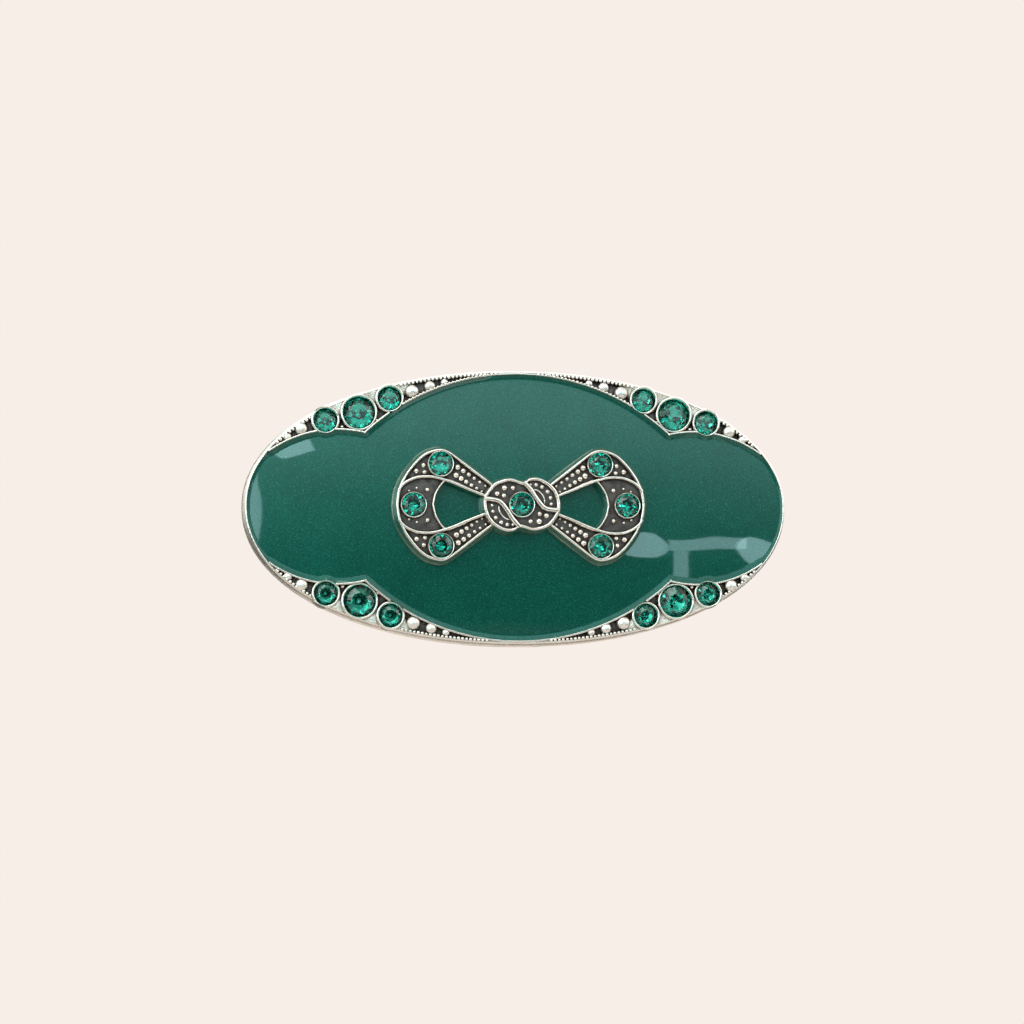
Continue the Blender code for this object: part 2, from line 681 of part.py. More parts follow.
clear_scene()
PARTS = new_collection("hair_clip")
CUTTERS = new_collection("cutters")
silver = material("antique_silver", (0.56, 0.54, 0.5), 0.3, 1.0)
steel = material("spring_steel", (0.62, 0.62, 0.63), 0.28, 1.0)
green_enamel = material("green_enamel", (0.03, 0.16, 0.13), 0.12, 0.0)
green_glass = material("green_stone", (0.02, 0.3, 0.2), 0.05, 0.0)

build_frame_plate(PARTS, silver)
build_enamel(PARTS, green_enamel)
build_bow(PARTS, silver)
build_stones(PARTS, green_glass)
build_clip_base(PARTS, steel)
build_hinge_pin(PARTS, steel)
build_rivets(PARTS, steel)
build_clip_arm(PARTS, steel)
build_tension_leaf(PARTS, steel)
build_catch(PARTS, steel)
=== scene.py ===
"""Looks of the oval French barrette: cast silver plate, enamel, bow, stones and clasp.

X runs along the clip, Z is up, and the jewelled face looks toward -Y. Shapes are worked
out in millimetres from the CAD frame's own boxes and written to meshes in metres.
"""

import math
import random
from itertools import groupby

import bmesh
import bpy
import numpy as np
from mathutils import Matrix, Vector, noise


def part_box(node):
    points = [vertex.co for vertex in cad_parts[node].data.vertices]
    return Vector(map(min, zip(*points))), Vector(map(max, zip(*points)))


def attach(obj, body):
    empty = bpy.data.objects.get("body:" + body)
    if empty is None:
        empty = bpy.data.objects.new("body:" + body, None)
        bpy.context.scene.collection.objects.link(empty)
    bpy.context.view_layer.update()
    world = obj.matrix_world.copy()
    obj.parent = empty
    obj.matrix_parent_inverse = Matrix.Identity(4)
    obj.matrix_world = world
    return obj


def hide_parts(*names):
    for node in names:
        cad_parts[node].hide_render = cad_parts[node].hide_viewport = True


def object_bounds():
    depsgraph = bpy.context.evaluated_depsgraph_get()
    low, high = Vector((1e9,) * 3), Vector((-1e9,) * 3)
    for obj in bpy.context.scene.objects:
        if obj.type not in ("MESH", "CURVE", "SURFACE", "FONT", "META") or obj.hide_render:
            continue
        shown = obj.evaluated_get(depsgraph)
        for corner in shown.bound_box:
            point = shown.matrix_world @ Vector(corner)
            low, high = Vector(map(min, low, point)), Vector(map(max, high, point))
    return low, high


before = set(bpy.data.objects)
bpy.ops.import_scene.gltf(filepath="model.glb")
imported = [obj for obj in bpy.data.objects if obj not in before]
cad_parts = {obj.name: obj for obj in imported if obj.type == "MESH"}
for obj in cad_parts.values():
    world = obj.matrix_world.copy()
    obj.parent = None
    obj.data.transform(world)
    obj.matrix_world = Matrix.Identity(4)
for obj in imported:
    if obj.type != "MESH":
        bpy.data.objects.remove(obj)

CAD_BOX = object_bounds()
MM = 0.001
SEED = 7

# ---- driving dimensions, mm
PLATE_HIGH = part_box("frame_plate")[1] / MM
HALF_LENGTH = PLATE_HIGH.x
HALF_HEIGHT = PLATE_HIGH.z
RIM_DEPTH = 5.0
CREST = PLATE_HIGH.y - RIM_DEPTH
OVAL_POWER = 2.08
DOME_X = 0.0018
DOME_Z = 0.005
RIM_INNER = 0.64
FLOOR = 0.9
FLOOR_BACK = 1.9
PLATE_SEGMENTS = 320

LENS_RADIUS = 31.0
LENS_DROP = 12.6
LOBE_RADIUS = 16.0
LOBE_DROP = 5.5
LOBE_X = 25.0
BORDER_WIDTH = 0.34
BORDER_START = 0.0
BORDER_END = 34.4

BALLS = ((14.6, 16.0, 0.95), (12.15, 16.75, 0.78), (10.1, 17.3, 0.56),
         (29.9, 10.75, 0.88), (31.8, 9.6, 0.64), (33.2, 8.7, 0.38))
MILGRAIN_PITCH = 0.56
MILGRAIN_RADIUS = 0.24
BORDER_BEAD_RADIUS = 0.2
HOLLOW = 1.45  # how far the hollow back starts inside the edge

BOW_HEIGHT = 1.9  # from the dome to the top of the bow's ridges
BOW_FLOOR = 1.15
BOW_FOOT = -0.35
KNOT_HEIGHT = 2.45
KNOT_FLOOR = 1.92
LOOP_OUTLINE = ((3.2, 2.3), (6.6, 4.95), (8.9, 6.7), (10.1, 7.5), (11.2, 7.75), (12.95, 7.3),
                (14.3, 6.3), (15.6, 4.75), (16.45, 3.35), (17.05, 1.8), (17.28, 0.0))
WINDOW_OUTLINE = ((4.6, 1.0), (7.0, 1.95), (9.0, 2.85), (10.4, 3.2), (11.6, 1.6), (12.0, 0.0))
LOOP_CENTRE = 9.6
SIDE_RIDGE = ((16.9, 2.0), (16.2, 2.85), (15.2, 3.45), (14.1, 3.8), (12.4, 3.85), (10.8, 3.5),
              (9.2, 2.95), (7.2, 2.1), (5.0, 1.25))
STRAND_ROWS = (((8.7, 5.2), (4.9, 2.65)), ((8.95, 4.1), (5.4, 1.85)))
STRAND_BEADS = (0.46, 0.2)  # radius next to the stone and next to the knot
LOOP_BEADS = ((13.4, 5.5, 0.36), (14.4, 4.68, 0.41), (13.25, 4.5, 0.35), (12.9, 2.1, 0.33),
              (14.35, 2.35, 0.2), (15.4, 1.95, 0.19))
KNOT_OUTLINE = ((-5.35, 0.3), (-5.1, 1.36), (-3.95, 2.85), (-2.46, 3.5), (-1.4, 3.6),
                (-0.35, 3.3), (0.44, 3.2), (1.23, 3.69), (2.46, 3.69), (3.78, 3.03),
                (4.74, 2.06), (5.22, 0.9))
KNOT_RIDGE = ((0.3, 3.1), (1.2, 2.1), (2.05, 0.8), (3.0, -0.35), (4.1, -0.7), (5.2, -0.75))
KNOT_GROOVE = ((1.45, 2.05), (2.2, 1.95), (2.85, 1.35), (3.15, 0.6), (3.1, 0.0))
KNOT_LOBE_BEADS = ((-2.4, 2.3, 0.44), (-1.2, 2.3, 0.36), (-3.4, 1.5, 0.4), (-2.45, 1.25, 0.36))
KNOT_STRAND_BEADS = ((1.2, 2.75, 0.26), (2.0, 2.75, 0.31), (2.85, 2.45, 0.33),
                     (3.6, 1.8, 0.33), (4.0, 0.95, 0.3), (4.1, 0.1, 0.26))

ENAMEL_LEVEL = 0.3  # how far the poured surface lies under the plate's crest
CLIMB_SLOPE = 0.52
CLIMB_AT_BORDER = 0.68
CLIMB_AT_RIM = 0.4

CROWN = 0.42  # crown height as a share of a stone's radius

HAIR_SPACE = 7.6
BOW_FLAT = 26.0
RIVET_X = 18.0
BASE_START = -34.0
BASE_THICKNESS = 0.8
BASE_HALF_WIDTH = 4.0
LUG_INNER = 3.4
LUG_RADIUS = 1.9
ARM_TIP_X = 32.2
ARM_THICKNESS = 0.9
ARM_HALF_WIDTH = 3.1
ARM_NOTCH = 1.7  # length past the hinge
ARM_NOTCH_HALF = 1.35
ARM_WINDOW = (27.6, 30.8, 2.2)  # start, end and half width
HINGE_X = -31.5
PIN_RADIUS = 0.7
BORE_RADIUS = 0.82
BORE_REACH = 6.0
ARM_KNUCKLE_RADIUS = 1.6
LEAF_KNUCKLE_RADIUS = 1.4
LEAF_TIP_X = 24.0
LEAF_TIP_LENGTH = 2.0
LEAF_NECK_HALF = 1.05
LEAF_WIDENING = 0.95
LEAF_HALF_THICKNESS = 0.2
LEAF_CURL = 0.12  # how far the leaf's middle stands over its edges
CATCH_X = 28.0
BLADE_LENGTH = 6.6
BLADE_INNER = 1.2
BLADE_OUTER = 1.8
HOOK_LENGTH = 2.4
WING_LENGTH = 2.1
BASE_BACK = -HAIR_SPACE / 2
BASE_LEVEL = BASE_BACK - BASE_THICKNESS
ARM_INNER = HAIR_SPACE / 2
ARM_OUTER = ARM_INNER + ARM_THICKNESS
END_BOW = DOME_X * BOW_FLAT ** 2
HINGE_Y = ARM_OUTER + END_BOW - ARM_KNUCKLE_RADIUS
END_X = CATCH_X + BLADE_LENGTH


# ---- shape helpers
def placed(name, data):
    obj = bpy.data.objects.new(name, data)
    bpy.context.scene.collection.objects.link(obj)
    return obj


class Shape:
    """Points in millimetres and faces with the number of their material."""

    def __init__(self):
        self.points = []
        self.faces = []
        self.looks = []

    def face(self, corners, look):
        corners = list(dict.fromkeys(corners))
        if len(corners) > 2:
            self.faces.append(corners)
            self.looks.append(look)

    def loft(self, rings, look=0, loop=False, caps=True, looks=None):
        """Skins rings of points. A ring of one point closes an end; loop joins the last to the first."""
        starts = []
        for ring in rings:
            starts.append(len(self.points))
            self.points.extend(ring)
        pairs = [(i, i + 1) for i in range(len(rings) - 1)] + ([(len(rings) - 1, 0)] if loop else [])
        for k, (a, b) in enumerate(pairs):
            near, far = len(rings[a]), len(rings[b])
            count = max(near, far)
            for i in range(count):
                j = (i + 1) % count
                self.face([starts[a] + i % near, starts[a] + j % near,
                           starts[b] + j % far, starts[b] + i % far], looks[k] if looks else look)
        if caps and not loop:
            for k in (0, -1):
                if len(rings[k]) > 1:
                    self.face(range(starts[k], starts[k] + len(rings[k])), look)

    def object(self, name, materials, cast=0.0, angle=40, boxed=True):
        """The shape as one object. cast is the size of its casting unevenness in millimetres."""
        mesh = bpy.data.meshes.new(name)
        mesh.from_pydata([Vector(p) * MM for p in self.points], [], self.faces)
        mesh.polygons.foreach_set("material_index", self.looks)
        return finished(name, mesh, materials, cast, angle, boxed)


def finished(name, mesh, materials, cast=0.0, angle=40, boxed=True):
    """Gives a mesh its normals, unevenness and materials. boxed keeps it inside the CAD box."""
    bm = bmesh.new()
    bm.from_mesh(mesh)
    bmesh.ops.recalc_face_normals(bm, faces=bm.faces)
    if cast:
        bm.normal_update()
        for vertex in bm.verts:
            here = vertex.co / MM
            lift = noise.noise(here * 1.3) * 0.75 + noise.noise(here * 3.2) * 0.25
            vertex.co += vertex.normal * (lift * cast * MM)
    looks = [face.material_index for face in bm.faces]
    if boxed:
        low, high = CAD_BOX
        for vertex in bm.verts:
            vertex.co = [min(max(c, a), b) for c, a, b in zip(vertex.co, low, high)]
    bm.to_mesh(mesh)
    bm.free()
    mesh.materials.clear()
    for material in materials:
        mesh.materials.append(material)
    mesh.polygons.foreach_set("material_index", looks)
    mesh.shade_smooth()
    mesh.set_sharp_from_angle(angle=math.radians(angle))
    return placed(name, mesh)


def joined(name, objects, angle=45):
    """One object from several, with each one's own materials."""
    made = bmesh.new()
    materials = []
    for obj in objects:
        slots = []
        for material in obj.data.materials:
            if material not in materials:
                materials.append(material)
            slots.append(materials.index(material))
        before = len(made.faces)
        made.from_mesh(obj.data)
        made.faces.ensure_lookup_table()
        for face in made.faces[before:]:
            face.material_index = slots[face.material_index]
    mesh = bpy.data.meshes.new(name)
    made.to_mesh(mesh)
    made.free()
    for material in materials:
        mesh.materials.append(material)
    mesh.shade_smooth()
    mesh.set_sharp_from_angle(angle=math.radians(angle))
    for obj in objects:
        bpy.data.objects.remove(obj, do_unlink=True)
    return placed(name, mesh)


def evaluated(obj):
    """The object's mesh after its modifiers."""
    bpy.context.view_layer.update()
    graph = bpy.context.evaluated_depsgraph_get()
    return bpy.data.meshes.new_from_object(obj.evaluated_get(graph))


def combine(target, tool, operation="UNION"):
    modifier = target.modifiers.new("combine", "BOOLEAN")
    modifier.operation = operation
    modifier.object = tool
    made = evaluated(target)
    target.modifiers.clear()
    target.data = made
    bpy.data.objects.remove(tool, do_unlink=True)


def cut(target, tool):
    combine(target, tool, "DIFFERENCE")


def spread(start, end, count):
    return [start + (end - start) * i / count for i in range(count + 1)]


def turns(count, start=0.0):
    return [start + 2 * math.pi * i / count for i in range(count)]


def around(radius, count, start=0.0):
    """Offsets of even places on a circle."""
    return [(radius * math.cos(a), radius * math.sin(a)) for a in turns(count, start)]


def rounded(points, per_span=8):
    """Points along a Catmull-Rom curve through the given ones."""
    padded = [points[0], *points, points[-1]]
    found = []
    for p0, p1, p2, p3 in zip(padded, padded[1:], padded[2:], padded[3:]):
        for step in range(per_span):
            t = step / per_span
            found.append(tuple(
                0.5 * (2 * b + (c - a) * t + (2 * a - 5 * b + 4 * c - d) * t * t
                       + (3 * b - a - 3 * c + d) * t ** 3)
                for a, b, c, d in zip(p0, p1, p2, p3)))
    return found + [tuple(points[-1])]


def mirrored_below(points):
    return points + [(x, -z) for x, z in reversed(points) if abs(z) > 1e-6]


def radii_around(outline, centre, count):
    """The outline's distance from a centre inside it, at even angles."""
    offsets = np.array(outline) - np.array(centre)
    angles = np.arctan2(offsets[:, 1], offsets[:, 0])
    lengths = np.hypot(offsets[:, 0], offsets[:, 1])
    order = np.argsort(angles)
    return np.interp(turns(count), angles[order] % (2 * math.pi), lengths[order], period=2 * math.pi)


def resampled(path, pitch):
    """Points at an even pitch along a path."""
    path = np.array(path)
    lengths = np.concatenate([[0.0], np.cumsum(np.hypot(*np.diff(path, axis=0).T))])
    count = max(int(round(lengths[-1] / pitch)), 1)
    at = np.linspace(0.0, lengths[-1], count + 1)
    return list(zip(np.interp(at, lengths, path[:, 0]), np.interp(at, lengths, path[:, 1])))


def dome(x, z):
    return CREST + DOME_X * x * x + DOME_Z * z * z


def bar_bow(x):
    return DOME_X * min(abs(x), BOW_FLAT) ** 2


def oval_point(inset, angle, scale=1.0):
    power = 2 / OVAL_POWER
    c, s = math.cos(angle), math.sin(angle)
    return (math.copysign(abs(c) ** power, c) * (HALF_LENGTH - inset) * scale,
            math.copysign(abs(s) ** power, s) * (HALF_HEIGHT - inset) * scale)


def oval_half_height(x, inset):
    share = min(abs(x) / (HALF_LENGTH - inset), 1.0)
    return (HALF_HEIGHT - inset) * (1 - share ** OVAL_POWER) ** (1 / OVAL_POWER)


def arc_height(x, centre_x, drop, radius):
    across = radius ** 2 - (abs(x) - centre_x) ** 2
    return math.sqrt(across) - drop if across > 0 else -drop


def lens_height(x, grow):
    return arc_height(x, 0.0, LENS_DROP, LENS_RADIUS + grow)


def lobe_height(x, grow):
    return arc_height(x, LOBE_X, LOBE_DROP, LOBE_RADIUS + grow)


def cusp_x(grow):
    """Where the lens arc and the end lobe's arc cross."""
    low, high = 15.0, 25.0
    for _ in range(40):
        middle = (low + high) / 2
        beyond = lens_height(middle, grow) > lobe_height(middle, grow)
        low, high = (middle, high) if beyond else (low, middle)
    return low


def stones():
    """Name, x, z, radius and girdle level of each stone, read from the frame."""
    for name in sorted(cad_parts):
        if name.startswith("stone_"):
            low, high = (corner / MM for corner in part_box(name))
            radius = (high.x - low.x) / 2
            yield name, (low.x + high.x) / 2, (low.z + high.z) / 2, radius, low.y + CROWN * radius, high.y


STONES = list(stones())
CORNER_STONES = [stone for stone in STONES if "_bow_" not in stone[0]]
BOW_STONES = [stone for stone in STONES if "_bow_" in stone[0]]


def sweep(shape, path, section, look=0, loop=False, level=dome):
    """Draws a section along a path in the XZ plane. The section gives (across, depth) points."""
    rings = []
    count = len(path)
    for i, (x, z) in enumerate(path):
        before = path[i - 1] if loop else path[max(i - 1, 0)]
        after = path[(i + 1) % count] if loop else path[min(i + 1, count - 1)]
        length = math.hypot(after[0] - before[0], after[1] - before[1])
        nx, nz = -(after[1] - before[1]) / length, (after[0] - before[0]) / length
        rings.append([(x + nx * across, level(x + nx * across, z + nz * across) + depth, z + nz * across)
                      for across, depth in section(i / (count - 1))])
    shape.loft(rings, look, loop=loop)


def ridge(width, top, foot, ends=0.0):
    """The section of a raised line: round top, walls that spread a little. ends is how far it fades."""
    def section(share):
        fade = 1.0
        if ends:
            fade = math.sin(min(min(share, 1 - share) / ends, 1.0) * math.pi / 2) * 0.75 + 0.25
        half = width / 2 * fade
        peak = foot + (top - foot) * fade
        return [(-half * 1.25, foot), (-half, peak + half * 0.7), (-half * 0.8, peak + half * 0.22),
                (-half * 0.4, peak), (half * 0.4, peak), (half * 0.8, peak + half * 0.22),
                (half, peak + half * 0.7), (half * 1.25, foot)]
    return section


def turned(shape, x, z, level, profile, look=0, count=40, loop=False, looks=None):
    """Turns a profile of (radius, depth) around the line through x, z toward the viewer."""
    rings = []
    for radius, depth in profile:
        if radius < 1e-6:
            rings.append([(x, level + depth, z)])
        else:
            rings.append([(x + u, level + depth, z + v) for u, v in around(radius, count)])
    shape.loft(rings, look, loop=loop, looks=looks)


def bead(shape, x, z, radius, depth, look=0, lift=0.9, count=12, level=dome):
    """A cast bead whose middle lies at this depth under the surface."""
    profile = [(radius * math.sin(t), depth - radius * lift * math.cos(t))
               for t in spread(0.0, math.pi, max(count // 2, 6))]
    turned(shape, x, z, level(x, z), profile, look, count)


QUARTERS = ((-1, -1), (-1, 1), (1, -1), (1, 1))


def four_ways(places):
    for side_x, side_z in QUARTERS:
        for x, z, *rest in places:
            yield (x * side_x, z * side_z, *rest)


def in_seat(x, z, extra):
    return any(math.hypot(x - sx, z - sz) < radius + extra for _, sx, sz, radius, _, _ in CORNER_STONES)


# ---- materials
class Nodes:
    """Short way to write a node tree."""

    def __init__(self, name):
        self.material = bpy.data.materials.new(name)
        self.material.use_nodes = True
        self.tree = self.material.node_tree
        self.shader = self.tree.nodes["Principled BSDF"]
        self.scaled = {}

    def feed(self, socket, value):
        """Links an input to another node, or sets its number or colour."""
        if isinstance(value, bpy.types.NodeSocket):
            self.tree.links.new(value, socket)
        elif isinstance(value, tuple):
            socket.default_value = (*value, 1.0)
        else:
            socket.default_value = value

    def add(self, kind, **values):
        node = self.tree.nodes.new(kind)
        for name, value in values.items():
            if name in node.inputs:
                self.feed(node.inputs[name], value)
            else:
                setattr(node, name, value)
        return node

    def place(self, x=1.0, y=1.0, z=1.0):
        """Object coordinates in millimetres, stretched per axis."""
        key = (x, y, z)
        if key not in self.scaled:
            where = self.add("ShaderNodeTexCoord")
            scale = self.add("ShaderNodeVectorMath", operation="MULTIPLY")
            self.feed(scale.inputs[0], where.outputs["Object"])
            scale.inputs[1].default_value = (x / MM, y / MM, z / MM)
            self.scaled[key] = scale.outputs[0]
        return self.scaled[key]

    def noise(self, scale, detail=3.0, stretch=(1.0, 1.0, 1.0)):
        where = self.place(*stretch)
        return self.add("ShaderNodeTexNoise", Vector=where, Scale=scale, Detail=detail).outputs["Fac"]

    def span(self, value, low, high, to_low=0.0, to_high=1.0):
        limits = {"From Min": low, "From Max": high, "To Min": to_low, "To Max": to_high}
        return self.add("ShaderNodeMapRange", Value=value, **limits).outputs["Result"]

    def mix(self, factor, a, b):
        node = self.add("ShaderNodeMix", data_type="RGBA")
        for place, value in ((0, factor), (6, a), (7, b)):
            self.feed(node.inputs[place], value)
        return node.outputs[2]

    def math(self, operation, a, b):
        node = self.add("ShaderNodeMath", operation=operation)
        for socket, value in zip(node.inputs, (a, b)):
            self.feed(socket, value)
        return node.outputs[0]

    def cavity(self, reach):
        """1 in corners and crevices, 0 on open surfaces."""
        node = self.add("ShaderNodeAmbientOcclusion", samples=8, Distance=reach * MM)
        return self.span(node.outputs["AO"], 0.35, 0.85, 1.0, 0.0)

    def bump(self, height, depth, strength=1.0, **under):
        node = self.add("ShaderNodeBump", Height=height, Strength=strength, Distance=depth * MM, **under)
        return node.outputs["Normal"]

    def set(self, **values):
        for name, value in values.items():
            self.feed(self.shader.inputs[name.replace("_", " ")], value)
        return self.material


def silver(name, bright, tarnish, dark, rough, grain, grain_scale, reach):
    """Cast silver plate: bright where it is handled, brown-black where the patina stayed."""
    n = Nodes(name)
    cloud = n.noise(0.9, 4.0)
    speck = n.noise(grain_scale, 2.0)
    colour = n.mix(n.span(cloud, 0.35, 0.75), bright, tarnish)
    hollow = n.cavity(reach)
    patchy = n.math("MULTIPLY", hollow, n.span(speck, 0.25, 0.6, 0.75, 1.0))
    colour = n.mix(patchy, colour, dark)
    roughness = n.math("ADD", n.span(cloud, 0.3, 0.7, rough - 0.06, rough + 0.08),
                       n.math("MULTIPLY", hollow, 0.25))
    fine = n.bump(speck, grain)
    coarse = n.bump(n.noise(2.2, 3.0), 0.05, 0.6, Normal=fine)
    return n.set(Base_Color=colour, Metallic=1.0, Roughness=roughness, Normal=coarse)


def steel(name, tint, stretch):
    """Nickel-plated spring steel with a fine drawn finish."""
    n = Nodes(name)
    line = n.noise(1.0, 4.0, stretch)
    cloud = n.noise(0.35, 3.0)
    colour = n.mix(n.span(cloud, 0.3, 0.75), tint, tuple(c * 0.82 for c in tint))
    # Painted shade: the colour darkens to a third of the tint in corners and crevices, where the cavity
    # mask finds them.
    colour = n.mix(n.cavity(0.7), colour, tuple(c * 0.3 for c in tint))
    roughness = n.math("ADD", n.span(line, 0.3, 0.7, 0.22, 0.28), n.span(cloud, 0.3, 0.7, 0.0, 0.07))
    return n.set(Base_Color=colour, Metallic=1.0, Roughness=roughness,
                 Normal=n.bump(line, 0.003, 0.6))


def enamel_material():
    """Dark green resin with fine metal glitter under a clear, wet surface."""
    n = Nodes("green_enamel")
    cells = n.add("ShaderNodeTexVoronoi", feature="F1", Scale=9.0, Vector=n.place())
    pick = n.add("ShaderNodeSeparateColor", Color=cells.outputs["Color"])
    close = n.span(cells.outputs["Distance"], 0.12, 0.42, 1.0, 0.0)
    rare = n.span(pick.outputs["Red"], 0.8, 1.0)
    flake = n.math("MULTIPLY", close, rare)
    grain = n.noise(4.5, 3.0)
    cloud = n.noise(0.16, 3.0)
    colour = n.mix(n.span(grain, 0.3, 0.7), (0.002, 0.062, 0.041), (0.006, 0.118, 0.086))
    colour = n.mix(n.span(cloud, 0.35, 0.7, 0.0, 0.45), colour, (0.003, 0.06, 0.042))
    colour = n.mix(flake, colour, (0.09, 0.4, 0.34))
    wave = n.bump(n.noise(0.1, 1.0), 0.07)
    return n.set(Base_Color=colour, Metallic=0.7, Roughness=n.span(grain, 0.3, 0.7, 0.42, 0.55),
                 Coat_Weight=1.0, Coat_Roughness=0.03, Coat_IOR=1.42, Specular_IOR_Level=0.1,
                 Coat_Normal=wave)


def glass_material():
    n = Nodes("green_stone")
    cloud = n.noise(0.5, 2.0)
    colour = n.mix(n.span(cloud, 0.3, 0.7), (0.27, 0.83, 0.72), (0.17, 0.74, 0.62))
    return n.set(Base_Color=colour, Roughness=0.0, IOR=1.56, Transmission_Weight=1.0)


def foil_material():
    """The coloured mirror behind each stone."""
    n = Nodes("stone_foil")
    cloud = n.noise(1.3, 2.0)
    colour = n.mix(n.span(cloud, 0.3, 0.7), (0.2, 0.66, 0.6), (0.1, 0.45, 0.39))
    return n.set(Base_Color=colour, Metallic=1.0, Roughness=0.06)


POLISHED = silver("antique_silver", (0.86, 0.81, 0.74), (0.76, 0.69, 0.58), (0.06, 0.045, 0.04),
                  0.2, 0.012, 7.0, 0.4)
SATIN = silver("satin_silver", (0.88, 0.85, 0.79), (0.80, 0.75, 0.66), (0.10, 0.08, 0.07),
               0.4, 0.01, 6.0, 0.35)
GRAINY = silver("grained_silver", (0.78, 0.73, 0.65), (0.46, 0.40, 0.32), (0.05, 0.04, 0.035),
                0.36, 0.14, 4.5, 0.5)
OXIDISED = silver("oxidised_silver", (0.13, 0.11, 0.10), (0.06, 0.05, 0.047), (0.02, 0.016, 0.016),
                  0.42, 0.06, 4.5, 0.6)
CAST_BACK = silver("cast_back", (0.62, 0.59, 0.54), (0.44, 0.41, 0.36), (0.07, 0.06, 0.05),
                   0.36, 0.05, 3.5, 0.8)
ENAMEL = enamel_material()
GLASS = glass_material()
FOIL = foil_material()
BAR_STEEL = steel("spring_steel", (0.72, 0.71, 0.69), (0.12, 9.0, 9.0))
LEAF_STEEL = steel("leaf_steel", (0.66, 0.65, 0.63), (0.12, 9.0, 11.0))
PIN_STEEL = steel("pin_steel", (0.70, 0.68, 0.65), (6.0, 6.0, 0.6))


# ---- plate
def oval_ring(inset, depth, scale=1.0, level=None, count=PLATE_SEGMENTS):
    found = []
    for angle in turns(count):
        x, z = oval_point(inset, angle, scale)
        found.append((x, dome(x, z) + depth if level is None else level, z))
    return found


def seat_cutters(extra, front, back, count=48):
    shape = Shape()
    for _, x, z, radius, _, _ in CORNER_STONES:
        level = dome(x, z)
        turned(shape, x, z, level, ((0, front), (radius + extra, front), (radius + extra, back), (0, back)),
               count=count)
    return shape.object("seats", [CAST_BACK])


def build_tray():
    """The cast oval tray: rounded rim, coved side wall, dark front floor, rough hollow back."""
    back = CREST + RIM_DEPTH
    front = [[(0.0, CREST + FLOOR, 0.0)]]
    front += [oval_ring(RIM_INNER, FLOOR, scale) for scale in (0.3, 0.6, 0.8, 0.9, 0.96, 1.0)]
    rim = [(RIM_INNER - 0.02, 0.3), (RIM_INNER - 0.04, 0.1), (RIM_INNER - 0.09, 0.02), (0.50, 0.0),
           (0.42, 0.01), (0.36, 0.06), (0.32, 0.15), (0.30, 0.35), (0.28, 0.7)]
    rings = front + [oval_ring(inset, depth) for inset, depth in rim]
    wall = rings[-1]
    for share, inset in ((0.35, 0.23), (0.65, 0.15), (0.85, 0.07)):
        edge = oval_ring(inset, 0.0)
        rings.append([(x, y + (back - y) * share, z) for (x, _, z), (_, y, _) in zip(edge, wall)])
    rings += [oval_ring(inset, 0.0, 1.0, back - rise) for inset, rise in (
        (0.0, 0.28), (0.02, 0.14), (0.12, 0.03), (0.25, 0.0), (0.8, 0.0), (0.95, 0.08), (1.05, 0.25))]
    rings += [oval_ring(HOLLOW, FLOOR_BACK, scale)
              for scale in (1.0, 0.97, 0.9, 0.8, 0.65, 0.5, 0.35, 0.18)]
    rings += [[(0.0, CREST + FLOOR_BACK, 0.0)]]
    looks = [1] * 7 + [0] * 14
    looks += [2] * (len(rings) - 1 - len(looks))
    tray = Shape()
    tray.loft(rings, looks=looks)
    tray = tray.object("tray", [POLISHED, OXIDISED, CAST_BACK], cast=0.03)
    combine(tray, seat_cutters(0.45, 1.2, 2.6), "UNION")
    cut(tray, seat_cutters(0.1, -1.5, 1.85))
    for x in (-RIVET_X, RIVET_X):
        level = dome(x, 0.0)
        top = BASE_LEVEL + bar_bow(x) - 0.05
        shape = Shape()
        turned(shape, x, 0.0, 0.0, ((0, level + 1.5), (2.35, level + 1.5), (2.35, level + 1.95),
                                    (2.1, top - 0.12), (1.95, top), (0, top)), count=40)
        combine(tray, shape.object("boss", [CAST_BACK]), "UNION")
    return tray


def build_borders():
    """The thin bright lines between enamel and corner panels, broken where a stone seat crosses."""
    shape = Shape()
    grow = BORDER_WIDTH / 2
    turn = cusp_x(grow)
    section = ridge(BORDER_WIDTH * 0.8, -0.03, 1.0)
    arcs = ([(x, lens_height(x, grow)) for x in spread(BORDER_START, turn + 0.12, 60)],
            [(x, lobe_height(x, grow)) for x in spread(turn - 0.12, BORDER_END, 60)])

    def shown(point):
        x, z = point
        return not in_seat(x, z, 0.25) and abs(z) <= oval_half_height(x, RIM_INNER - 0.15)

    for side_x, side_z in QUARTERS:
        for arc in arcs:
            for open_here, run in groupby([(x * side_x, z * side_z) for x, z in arc], shown):
                run = list(run)
                if open_here and len(run) > 2:
                    sweep(shape, run, section)
    return shape.object("borders", [POLISHED], cast=0.02)


def build_seats():
    """Round bezels of the corner stones, trimmed where they run into the plate's edge."""
    shape = Shape()
    for _, x, z, radius, _, _ in CORNER_STONES:
        r = radius
        turned(shape, x, z, dome(x, z), (
            (r + 0.47, 1.2), (r + 0.45, 0.3), (r + 0.43, 0.06), (r + 0.37, -0.05), (r + 0.27, -0.1),
            (r + 0.17, -0.07), (r + 0.1, 0.03), (r + 0.05, 0.2), (r + 0.05, 1.9), (r + 0.3, 1.9)),
            count=56, loop=True)
    seats = shape.object("corner_seats", [POLISHED], cast=0.025)
    blank = Shape()
    back = CREST + RIM_DEPTH
    blank.loft([oval_ring(0.16, -1.2), oval_ring(0.12, 0.1), oval_ring(0.08, 1.0),
                oval_ring(0.03, 0.0, 1.0, back)])
    combine(seats, blank.object("blank", [POLISHED]), "INTERSECT")
    return seats


